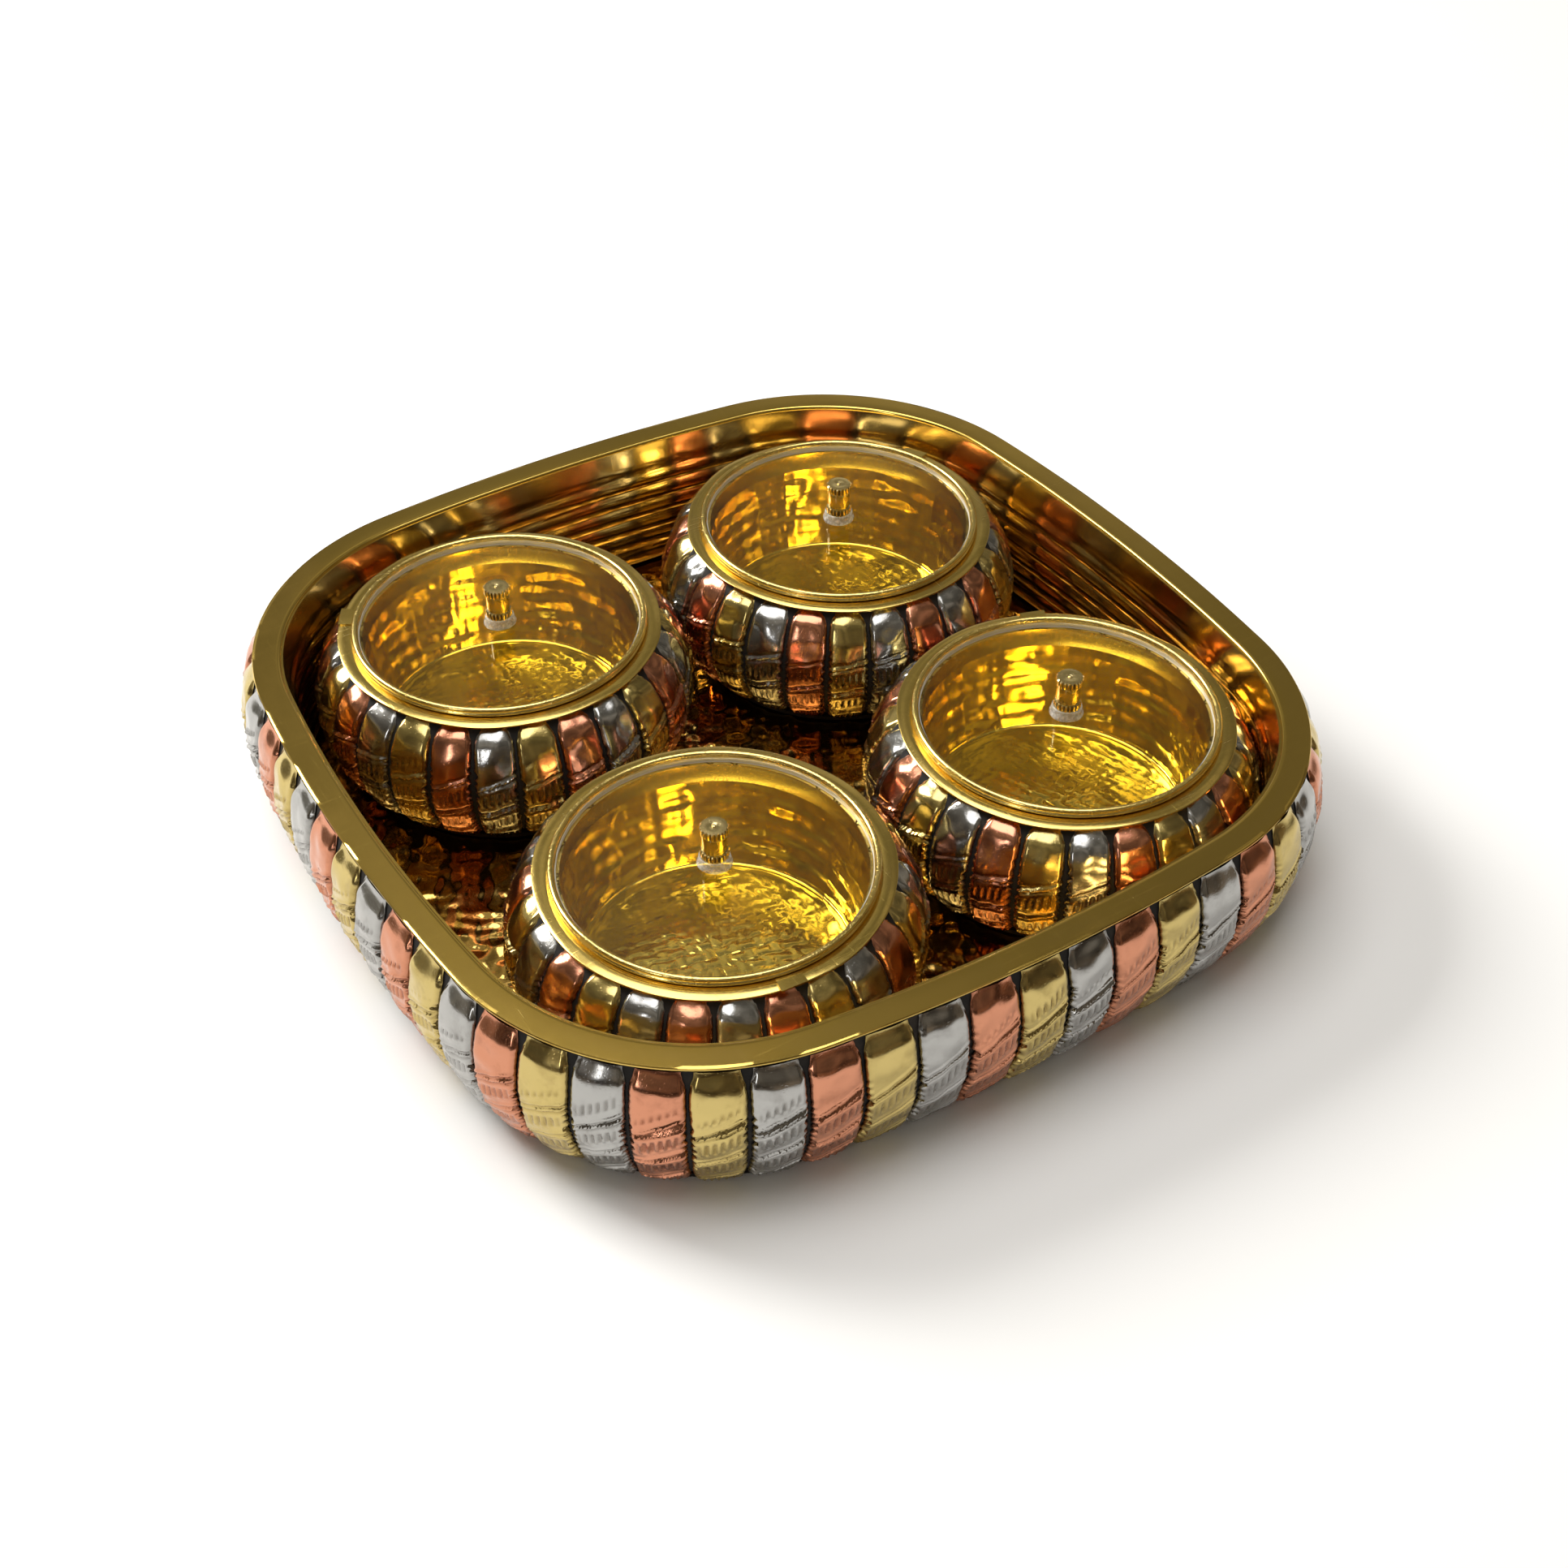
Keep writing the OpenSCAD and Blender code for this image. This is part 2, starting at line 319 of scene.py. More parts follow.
def join(name: str, pieces: list[bpy.types.Object]) -> bpy.types.Object:
    """Joins pieces into one, which takes the first one's place.

    Args:
        name: Name of the joined piece.
        pieces: The pieces to join.

    Returns:
        The joined piece.
    """
    bpy.ops.object.select_all(action="DESELECT")
    for piece in pieces:
        piece.select_set(True)
    bpy.context.view_layer.objects.active = pieces[0]
    bpy.ops.object.join()
    pieces[0].name = name
    pieces[0].data.name = name
    return pieces[0]


# ------------------------------------------------------------------ shader helpers


class Link:
    """A shader socket that can stand in a Python expression."""

    def __init__(self, graph: "Graph", socket: bpy.types.NodeSocket) -> None:
        """Keeps the graph and the socket that it wraps."""
        self.graph = graph
        self.socket = socket

    def maths(self, operation: str, *others: Any) -> "Link":
        """Adds a Math node with this socket first."""
        return self.graph.maths(operation, self, *others)

    def __add__(self, other: Any) -> "Link":
        """Sum."""
        return self.graph.maths("ADD", self, other)

    def __radd__(self, other: Any) -> "Link":
        """Sum with a plain number first."""
        return self.graph.maths("ADD", other, self)

    def __sub__(self, other: Any) -> "Link":
        """Difference."""
        return self.graph.maths("SUBTRACT", self, other)

    def __rsub__(self, other: Any) -> "Link":
        """Difference with a plain number first."""
        return self.graph.maths("SUBTRACT", other, self)

    def __mul__(self, other: Any) -> "Link":
        """Product."""
        return self.graph.maths("MULTIPLY", self, other)

    def __rmul__(self, other: Any) -> "Link":
        """Product with a plain number first."""
        return self.graph.maths("MULTIPLY", other, self)


class Graph:
    """The nodes of one material, or of the surround."""

    def __init__(self, name: str, surround: bool = False) -> None:
        """Starts an empty material or surround with an output."""
        library = bpy.data.worlds if surround else bpy.data.materials
        self.owner = library.new(name)
        self.owner.use_nodes = True
        self.tree = self.owner.node_tree
        self.tree.nodes.clear()
        kind = "ShaderNodeOutputWorld" if surround else "ShaderNodeOutputMaterial"
        self.output = self.tree.nodes.new(kind)

    def node(
        self, kind: str, settings: dict[str, Any] | None = None, inputs: dict[Any, Any] | None = None
    ) -> bpy.types.Node:
        """Adds a node, sets its settings and then its inputs.

        Args:
            kind: Blender's name for the node's type.
            settings: Attributes to set first; "stops" is a colour ramp's list of stops.
            inputs: Values or links for its sockets, by name or by number.

        Returns:
            The new node.
        """
        made = self.tree.nodes.new(kind)
        for name, value in (settings or {}).items():
            if name == "stops":
                self._set_stops(made, value)
            else:
                setattr(made, name, value)
        for name, value in (inputs or {}).items():
            socket = made.inputs[name]
            if isinstance(value, Link):
                self.tree.links.new(value.socket, socket)
            else:
                socket.default_value = value
        return made

    def _set_stops(self, ramp: bpy.types.Node, stops: list[tuple[float, Any]]) -> None:
        """Sets a colour ramp's stops."""
        elements = ramp.color_ramp.elements
        while len(elements) < len(stops):
            elements.new(0.5)
        for element, (place, colour) in zip(elements, stops):
            element.position = place
            element.color = colour

    def out(self, node: bpy.types.Node, socket: Any = 0) -> Link:
        """Wraps one of a node's outputs."""
        return Link(self, node.outputs[socket])

    def maths(self, operation: str, *values: Any) -> Link:
        """Adds a Math node.

        Args:
            operation: The node's operation.
            *values: Its inputs, in order.

        Returns:
            The node's result.
        """
        inputs = dict(enumerate(values))
        return self.out(self.node("ShaderNodeMath", {"operation": operation}, inputs))

    def blend(self, factor: Any, first: Any, second: Any) -> Link:
        """Mixes two colours.

        Args:
            factor: 0 for the first colour, 1 for the second.
            first: Colour or link.
            second: Colour or link.

        Returns:
            The mixed colour.
        """
        mix = self.node("ShaderNodeMix", {"data_type": "RGBA"}, {0: factor, 6: first, 7: second})
        return self.out(mix, 2)

    def coords(self, output: str = "Object") -> Link:
        """Texture coordinates."""
        return self.out(self.node("ShaderNodeTexCoord"), output)

    def mapped(self, vector: Link, scale: Colour, turn: Colour = (0.0, 0.0, 0.0)) -> Link:
        """Scales and turns coordinates.

        Args:
            vector: The coordinates.
            scale: Scale on each axis.
            turn: Rotation on each axis, in radians.

        Returns:
            The new coordinates.
        """
        node = self.node("ShaderNodeMapping", None, {"Vector": vector, "Scale": scale, "Rotation": turn})
        return self.out(node)

    def noise(self, vector: Link, scale: float, detail: float = 3.0, rough: float = 0.55) -> Link:
        """Soft noise from 0 to 1.

        Args:
            vector: Coordinates.
            scale: Number of blotches in a metre.
            detail: How many finer layers it has.
            rough: How strong the finer layers are.

        Returns:
            The noise's height.
        """
        node = self.node(
            "ShaderNodeTexNoise",
            None,
            {"Vector": vector, "Scale": scale, "Detail": detail, "Roughness": rough},
        )
        return self.out(node)

    def ramp(self, value: Link, low: float, high: float) -> Link:
        """Stretches the part of a value from low to high over 0 to 1."""
        node = self.node(
            "ShaderNodeMapRange",
            {"interpolation_type": "SMOOTHSTEP"},
            {"Value": value, "From Min": low, "From Max": high},
        )
        return self.out(node)

    def bump(self, height: Link, depth: float) -> Link:
        """Turns a height from 0 to 1 into a surface direction.

        Args:
            height: The height.
            depth: How deep 1 is, in metres.

        Returns:
            The bumped normal.
        """
        inputs = {"Height": height, "Distance": depth, "Strength": 1.0}
        return self.out(self.node("ShaderNodeBump", None, inputs))

    def principled(self, **inputs: Any) -> Link:
        """Adds a Principled shader.

        Args:
            **inputs: Sockets, with underscores for spaces.

        Returns:
            The shader.
        """
        named = {name.replace("_", " "): value for name, value in inputs.items()}
        return self.out(self.node("ShaderNodeBsdfPrincipled", None, named))

    def surface(self, shader: Link) -> Any:
        """Connects the finished shader.

        Args:
            shader: The shader.

        Returns:
            The material or the surround.
        """
        self.tree.links.new(shader.socket, self.output.inputs["Surface"])
        return self.owner


def rgba(colour: Colour) -> tuple[float, float, float, float]:
    """A colour with full alpha."""
    return (*colour, 1.0)


# ------------------------------------------------------------------ finishes


class Finish(Protocol):
    """What every finish has: the name of its material, and a way to make it."""

    @property
    def name(self) -> str:
        """Name of the material."""

    def make(self) -> bpy.types.Material:
        """Builds the material."""


@dataclass(frozen=True)
class SheetMetal:
    """Polished or satin sheet with stains, fine scratches and soft ripples."""

    name: str
    colour: Colour
    stain: Colour
    roughness: float
    stain_amount: float = 0.5
    stain_scale: float = 60.0
    scratch_depth: float = 0.01
    ripple_scale: float = 140.0
    ripple_depth: float = 0.05
    speckle: float = 0.0

    def make(self) -> bpy.types.Material:
        """Builds the material."""
        g = Graph(self.name)
        at = g.coords()
        clouds = g.noise(at, self.stain_scale, 5.0, 0.62)
        stained = g.ramp(clouds, 0.42, 0.72) * self.stain_amount
        fine = g.noise(at, 1500.0, 2.0)
        colour = g.blend(stained, rgba(self.colour), rgba(self.stain))
        along = g.noise(g.mapped(at, (40.0, 2600.0, 300.0), (0.0, 0.0, 0.5)), 1.0, 2.0)
        astray = g.noise(g.mapped(at, (2400.0, 55.0, 300.0), (0.0, 0.0, 1.1)), 1.0, 2.0)
        scratches = g.ramp(along, 0.6, 0.78) + g.ramp(astray, 0.62, 0.8)
        rough = stained * 0.16 + fine * 0.06 + scratches * 0.07 + (self.roughness - 0.03)
        soft = g.noise(at, self.ripple_scale, 2.0, 0.4)
        height = soft * self.ripple_depth - scratches * self.scratch_depth
        if self.speckle > 0.0:
            grains = g.ramp(g.noise(at, 2600.0, 1.0), 0.55, 0.75)
            height = height + grains * self.speckle
        shader = g.principled(
            Base_Color=colour,
            Metallic=1.0,
            Roughness=rough,
            Normal=g.bump(height, MM),
        )
        return g.surface(shader)


@dataclass(frozen=True)
class StripMetal:
    """Embossed strip: plain colour on the raised parts, random tarnish clouds, and painted shade in the
    pressed parts and on the turned-down edges.
    """

    name: str
    colour: Colour
    # Colour of the random tarnish clouds, also used as the painted shade of the marked pressed parts and
    # edges.
    shade_and_tarnish: Colour
    roughness: float

    def make(self) -> bpy.types.Material:
        """Builds the material."""
        g = Graph(self.name)
        at = g.coords()
        pressed = g.out(g.node("ShaderNodeAttribute", {"attribute_name": "pressed"}), 2)
        clouds = g.ramp(g.noise(at, 170.0, 5.0, 0.65), 0.45, 0.75)
        # Painted shade from the marked pressed parts and edges, plus random tarnish clouds.
        tarnish_and_shade = g.maths("MINIMUM", pressed * 0.9 + clouds * 0.3, 1.0)
        colour = g.blend(tarnish_and_shade, rgba(self.colour), rgba(self.shade_and_tarnish))
        grain = g.noise(g.mapped(at, (700.0, 700.0, 2400.0)), 1.0, 2.0)
        pits = g.ramp(g.noise(at, 1900.0, 1.0), 0.62, 0.75)
        soft = g.noise(at, 330.0, 3.0, 0.5)
        height = soft * 0.035 + grain * 0.008 - pits * 0.012
        shader = g.principled(
            Base_Color=colour,
            Metallic=1.0,
            Roughness=tarnish_and_shade * 0.2 + grain * 0.08 + (self.roughness - 0.03),
            Normal=g.bump(height, MM),
        )
        return g.surface(shader)


@dataclass(frozen=True)
class BlackSheet:
    """Blackened sheet with worn, slightly shiny patches."""

    name: str

    def make(self) -> bpy.types.Material:
        """Builds the material."""
        g = Graph(self.name)
        at = g.coords()
        worn = g.ramp(g.noise(at, 220.0, 4.0), 0.5, 0.75)
        colour = g.blend(worn, (0.007, 0.005, 0.004, 1.0), (0.024, 0.016, 0.009, 1.0))
        shader = g.principled(
            Base_Color=colour,
            Metallic=worn * 0.4,
            Roughness=0.8 - worn * 0.25,
            Normal=g.bump(g.noise(at, 900.0, 3.0), 0.06 * MM),
        )
        return g.surface(shader)


@dataclass(frozen=True)
class ClearAcrylic:
    """Clear disc: see-through, with a sheen, light scratches and a frosted edge."""

    name: str
    centre: tuple[float, float, float]
    radius: float

    def make(self) -> bpy.types.Material:
        """Builds the material."""
        g = Graph(self.name)
        at = g.coords()
        from_axis = g.node("ShaderNodeVectorMath", {"operation": "SUBTRACT"}, {0: at, 1: self.centre})
        flat = g.mapped(g.out(from_axis), (1.0, 1.0, 0.0))
        length = g.node("ShaderNodeVectorMath", {"operation": "LENGTH"}, {0: flat})
        away = g.out(length, "Value")
        edge = g.ramp(away, self.radius - 0.45 * MM, self.radius - 0.1 * MM)
        along = g.noise(g.mapped(at, (2200.0, 60.0, 1.0), (0.0, 0.0, 0.9)), 1.0, 3.0)
        astray = g.noise(g.mapped(at, (50.0, 1900.0, 1.0), (0.0, 0.0, 0.35)), 1.0, 3.0)
        scratches = g.ramp(along, 0.68, 0.8) + g.ramp(astray, 0.7, 0.82)
        haze = g.noise(at, 45.0, 3.0) * 0.012
        facing = g.out(g.node("ShaderNodeLayerWeight", None, {"Blend": 0.5}), "Facing")
        sheen_share = facing.maths("POWER", 5.0) * 0.9 + 0.018
        seen = g.maths("MINIMUM", sheen_share + haze + scratches * 0.06 + edge * 0.6, 1.0)
        clear = g.out(g.node("ShaderNodeBsdfTransparent", None, {"Color": (0.97, 0.965, 0.94, 1.0)}))
        sheen = g.principled(
            Base_Color=g.blend(edge, (0.55, 0.53, 0.48, 1.0), (0.95, 0.95, 0.92, 1.0)),
            Metallic=0.0,
            Roughness=0.04 + scratches * 0.25 + edge * 0.2,
            Specular_IOR_Level=1.0,
            Normal=g.bump(g.noise(at, 24.0, 2.0), 0.12 * MM),
        )
        gloss = g.principled(
            Base_Color=(0.95, 0.95, 0.95, 1.0), Metallic=1.0, Roughness=0.03 + scratches * 0.2
        )
        body = g.out(g.node("ShaderNodeMixShader", None, {0: edge, 1: gloss, 2: sheen}))
        shader = g.out(g.node("ShaderNodeMixShader", None, {0: seen, 1: clear, 2: body}))
        return g.surface(shader)


@dataclass(frozen=True)
class ClearBond:
    """Glossy, slightly milky clear compound."""

    name: str

    def make(self) -> bpy.types.Material:
        """Builds the material."""
        g = Graph(self.name)
        at = g.coords()
        milk = g.ramp(g.noise(at, 700.0, 3.0), 0.4, 0.7)
        clear = g.out(g.node("ShaderNodeBsdfTransparent", None, {"Color": (0.93, 0.93, 0.9, 1.0)}))
        gloss = g.principled(
            Base_Color=(0.82, 0.81, 0.77, 1.0),
            Roughness=0.08 + milk * 0.1,
            Specular_IOR_Level=0.9,
            Normal=g.bump(milk, 0.12 * MM),
        )
        shader = g.out(g.node("ShaderNodeMixShader", None, {0: 0.3 + milk * 0.35, 1: clear, 2: gloss}))
        return g.surface(shader)


@dataclass(frozen=True)
class PaleFloor:
    """Plain pale studio floor."""

    name: str

    def make(self) -> bpy.types.Material:
        """Builds the material."""
        g = Graph(self.name)
        shade = g.noise(g.coords(), 1.3, 2.0)
        colour = g.blend(shade, (0.93, 0.93, 0.93, 1.0), (0.95, 0.95, 0.95, 1.0))
        return g.surface(g.principled(Base_Color=colour, Roughness=0.9, Specular_IOR_Level=0.1))


BRASS = {
    "floor": SheetMetal(
        "hammered_brass", (0.74, 0.48, 0.13), (0.30, 0.15, 0.04), 0.08, 0.5, 45.0, 0.004, 210.0, 0.10
    ),
    "liner": SheetMetal(
        "ribbed_brass", (0.76, 0.51, 0.15), (0.38, 0.20, 0.05), 0.15, 0.4, 30.0, 0.006, 90.0, 0.08
    ),
    "rim": SheetMetal(
        "rim_brass", (0.66, 0.46, 0.11), (0.48, 0.31, 0.07), 0.16, 0.4, 28.0, 0.003, 45.0, 0.08
    ),
    "cup": SheetMetal(
        "cup_brass", (0.97, 0.76, 0.16), (0.82, 0.55, 0.08), 0.11, 0.5, 90.0, 0.004, 120.0, 0.13
    ),
    "flange": SheetMetal(
        "flange_brass", (0.76, 0.56, 0.16), (0.44, 0.30, 0.09), 0.17, 0.5, 60.0, 0.01, 120.0, 0.10
    ),
    "ring": SheetMetal(
        "ring_brass", (0.86, 0.66, 0.22), (0.62, 0.44, 0.12), 0.17, 0.3, 120.0, 0.008, 260.0, 0.03, 0.03
    ),
}
# The second colour of each strip finish is its tarnish and the painted shade of its pressed parts and
# turned-down edges.
STRIPS = {
    Metal.SILVER: StripMetal("strip_silver", (0.41, 0.405, 0.39), (0.11, 0.10, 0.085), 0.16),
    Metal.COPPER: StripMetal("strip_copper", (0.60, 0.26, 0.155), (0.17, 0.05, 0.024), 0.17),
    Metal.BRASS: StripMetal("strip_brass", (0.56, 0.435, 0.165), (0.19, 0.12, 0.03), 0.17),
}
# The knob's second colour is its tarnish and the painted shade of its flutes and waist corners.
KNOB = StripMetal("knob_brass", (0.95, 0.77, 0.37), (0.14, 0.085, 0.02), 0.15)
BLACK = BlackSheet("black_sheet")
BOND = ClearBond("clear_bond")
MADE: dict[str, bpy.types.Material] = {}


def dress(piece: bpy.types.Object, finish: Finish) -> None:
    """Gives a piece one finish all over; its material is made at its first use.

    The frame's own plain materials have some of the same names, so a made material is
    kept in MADE and never looked up by name among all that Blender holds.

    Args:
        piece: The piece to dress.
        finish: Its finish.
    """
    if finish.name not in MADE:
        MADE[finish.name] = finish.make()
    piece.data.materials.clear()
    piece.data.materials.append(MADE[finish.name])


def seat(piece: bpy.types.Object, body: str, slot: str, *nodes: str) -> None:
    """Lets a piece ride on its body and stand for its CAD nodes.

    Args:
        piece: The finished piece.
        body: Name of the body that it moves with.
        slot: Name of the record's material slot; not used.
        *nodes: CAD nodes that it replaces.
    """
    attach(piece, body)
    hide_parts(*nodes)
    LOG.info("%s on %s: %d faces", piece.name, body, len(piece.data.polygons))


# ------------------------------------------------------------------ plan and walls


@dataclass(frozen=True)
class Plan:
    """Plan of the tray: four bowed sides and four corners on common tangents.

    Sizes are in millimetres. Lengths round the plan are counted at the bulge.
    """

    half_w: float
    bulge: float
    side_r: float = 546.0
    corner_r: float = 72.0

    @property
    def corner_at(self) -> float:
        """Where a corner's centre lies, along X and along Y."""
        b = self.side_r - self.half_w
        c = b * b - (self.side_r - self.corner_r) ** 2
        return (-b + math.sqrt(b * b - 2.0 * c)) / 2.0

    @property
    def side_turn(self) -> float:
        """Half of the angle that a side turns through, in radians."""
        b = self.side_r - self.half_w
        return math.atan2(self.corner_at, self.corner_at + b)

    @property
    def side_len(self) -> float:
        """Length of a side."""
        return 2.0 * self.side_turn * (self.side_r + self.bulge)

    @property
    def quarter_len(self) -> float:
        """Length of a side and a corner."""
        turn = math.pi / 2.0 - 2.0 * self.side_turn
        return self.side_len + turn * (self.corner_r + self.bulge)

    @property
    def round_len(self) -> float:
        """Length all the way round."""
        return 4.0 * self.quarter_len

    def at(self, length: Array, off: Array) -> tuple[Array, Array]:
        """Point of the plan.

        Args:
            length: Length round the plan from the middle of the side at +X.
            off: Distance outside the rim's outer edge.

        Returns:
            X and Y.
        """
        quarter = np.floor((length + self.side_len / 2.0) / self.quarter_len)
        u = length + self.side_len / 2.0 - quarter * self.quarter_len
        on_side = u < self.side_len
        corner_len = self.quarter_len - self.side_len
        corner_turn = math.pi / 2.0 - 2.0 * self.side_turn
        turn = np.where(
            on_side,
            self.side_turn * (2.0 * u / self.side_len - 1.0),
            self.side_turn + corner_turn * (u - self.side_len) / corner_len,
        )
        radius = np.where(on_side, self.side_r, self.corner_r) + off
        cx = np.where(on_side, self.half_w - self.side_r, self.corner_at)
        cy = np.where(on_side, 0.0, self.corner_at)
        x = cx + radius * np.cos(turn)
        y = cy + radius * np.sin(turn)
        c, s = np.cos(quarter * math.pi / 2.0), np.sin(quarter * math.pi / 2.0)
        return x * c - y * s, x * s + y * c


@dataclass(frozen=True)
class WallArc:
    """Barrel-shaped wall: an arc through its foot, its widest point and its top.

    Each point is an offset or a radius, and a height, in millimetres.
    """

    foot: tuple[float, float]
    middle: tuple[float, float]
    top: tuple[float, float]

    @property
    def centre(self) -> tuple[float, float]:
        """Centre of the arc."""
        (ax, ay), (bx, by), (cx, cy) = self.foot, self.middle, self.top
        a2, b2, c2 = ax * ax + ay * ay, bx * bx + by * by, cx * cx + cy * cy
        d = 2.0 * (ax * (by - cy) + bx * (cy - ay) + cx * (ay - by))
        x = (a2 * (by - cy) + b2 * (cy - ay) + c2 * (ay - by)) / d
        y = (a2 * (cx - bx) + b2 * (ax - cx) + c2 * (bx - ax)) / d
        return x, y

    @property
    def radius(self) -> float:
        """Radius of the arc."""
        return math.dist(self.foot, self.centre)

    def turn_at(self, height: float) -> float:
        """Angle on the arc at a height."""
        return math.asin((height - self.centre[1]) / self.radius)

    def point(self, turn: Array, lift: Array) -> tuple[Array, Array]:
        """Point above the arc.

        Args:
            turn: Angle on the arc.
            lift: Distance outside the arc.

        Returns:
            Offset and height.
        """
        radius = self.radius + lift
        return self.centre[0] + radius * np.cos(turn), self.centre[1] + radius * np.sin(turn)


# ------------------------------------------------------------------ strips


@dataclass(frozen=True)
class StripForm:
    """Form of one metal strip, in millimetres.

    The face is crowned, its edges turn down onto the carcass in small crimps, and
    slanting lines and rows of short bars are pressed into it.
    """

    width: float
    length: float
    depth: float
    slant: float
    plain_top: float = 0.26
    crown: float = 0.5
    edge_r: float = 1.5
    end_narrowing: float = 0.17
    foot_narrowing: float = 0.05
    end_drop: float = 1.4
    foot_drop: float = 0.9
    edge_wave: float = 0.16
    motif: float = 10.5
    lines_at: tuple[tuple[float, float], ...] = ((7.2, 1.0), (9.0, 0.8))
    line_w: float = 0.42
    line_deep: float = 0.58
    ridge_off: float = 0.85
    ridge_h: float = 0.50
    bar_pitch: float = 1.9
    bar_h: float = 0.62
    bar_sink: float = 0.24
    face_steps: int = 28
    edge_steps: int = 3
    length_steps: int = 110

    @property
    def across_steps(self) -> int:
        """Number of faces round the section: the face, two edges and two on the back."""
        return self.face_steps + 2 * (self.edge_steps + 1) + 2

    def across(self) -> tuple[Array, Array, Array]:
        """Cross-section of the strip.

        Returns:
            For each step across: the place across, the drop of the edge below the face and
            how far the step is round the edge, from 0 to 1 on the left and to -1 on the right.
        """
        face = np.linspace(-1.0, 1.0, self.face_steps + 1) * (self.width / 2.0 - self.edge_r)
        turn = np.linspace(0.0, 1.0, self.edge_steps + 1)[1:] * math.pi / 2.0
        edge_x = self.width / 2.0 - self.edge_r + self.edge_r * np.sin(turn)
        edge_drop = self.edge_r * (1.0 - np.cos(turn))
        edge_x = np.append(edge_x, edge_x[-1] - 0.05)
        edge_drop = np.append(edge_drop, self.depth)
        weight = np.append(turn / (math.pi / 2.0), 1.0)
        back = [0.0]
        x = np.concatenate([back, -edge_x[::-1], face, edge_x, back])
        drop = np.concatenate([[self.depth], edge_drop[::-1], np.zeros(face.size), edge_drop, [self.depth]])
        side = np.concatenate([[-1.0], -weight[::-1], np.zeros(face.size), weight, [1.0]])
        return x, drop, side

    def pressed(self, x: Array, y: Array, rng: np.random.Generator) -> tuple[Array, Array]:
        """Depth of the pressed pattern.

        Args:
            x: Place across the strip.
            y: Place along the strip, from its foot.
            rng: Source of this strip's own differences.

        Returns:
            Height of the pattern, and how much of it is pressed in, from 0 to 1, which the finish darkens
            as painted shade.
        """
        slant = math.tan(math.radians(self.slant + rng.uniform(-6.0, 6.0)))
        strength = rng.uniform(0.65, 1.1)
        start = rng.uniform(-1.2, 1.2)
        top = self.length * (1.0 - self.plain_top) + rng.uniform(-2.0, 2.0)
        shear = y - slant * x
        place = np.mod(shear - start, self.motif)
        wobble = 0.12 * np.sin(x * 1.3 + rng.uniform(0.0, 6.0))
        lines = np.zeros_like(x)
        ridges = np.zeros_like(x)
        for at, deep in self.lines_at:
            lines += deep * np.exp(-(((place - at + wobble) / self.line_w) ** 2))
            ridges += deep * np.exp(-(((place - at - self.ridge_off + wobble) / self.line_w) ** 2))
        window = smooth_step(1.6, 2.2, place) * (1.0 - smooth_step(5.0, 5.6, place))
        comb = 0.5 + 0.5 * np.cos(2.0 * math.pi * x / self.bar_pitch + rng.uniform(0.0, 1.0))
        across = np.abs(x) / (self.width / 2.0)
        inside = 1.0 - smooth_step(0.62, 0.80, across)
        below = 1.0 - smooth_step(top - 1.0, top + 1.0, shear)
        line_share = strength * below * (1.0 - 0.8 * smooth_step(0.85, 1.0, across))
        bar_share = strength * below * inside
        height = line_share * (self.ridge_h * ridges - self.line_deep * lines)
        height += bar_share * window * (self.bar_h * comb**2 - self.bar_sink)
        # Painted shade: the pressed lines and the gaps between the bars are marked for the finish to
        # darken.
        press_shade = 0.75 * line_share * lines + 0.7 * bar_share * window * (1.0 - comb)
        return height, np.clip(press_shade, 0.0, 1.0)

    def dents(self, x: Array, y: Array, rng: np.random.Generator) -> Array:
        """Soft unevenness of the sheet.

        Args:
            x: Place across the strip.
            y: Place along the strip.
            rng: Source of this strip's own differences.

        Returns:
            Height of the unevenness.
        """
        total = np.zeros_like(x)
        for reach, amount in ((11.0, 0.26), (6.0, 0.12)):
            for _ in range(3):
                turn = rng.uniform(0.0, math.pi)
                phase = rng.uniform(0.0, 2.0 * math.pi)
                along = (x * math.cos(turn) + y * math.sin(turn)) * 2.0 * math.pi / reach
                total += amount / 3.0 * np.sin(along + phase)
        return total


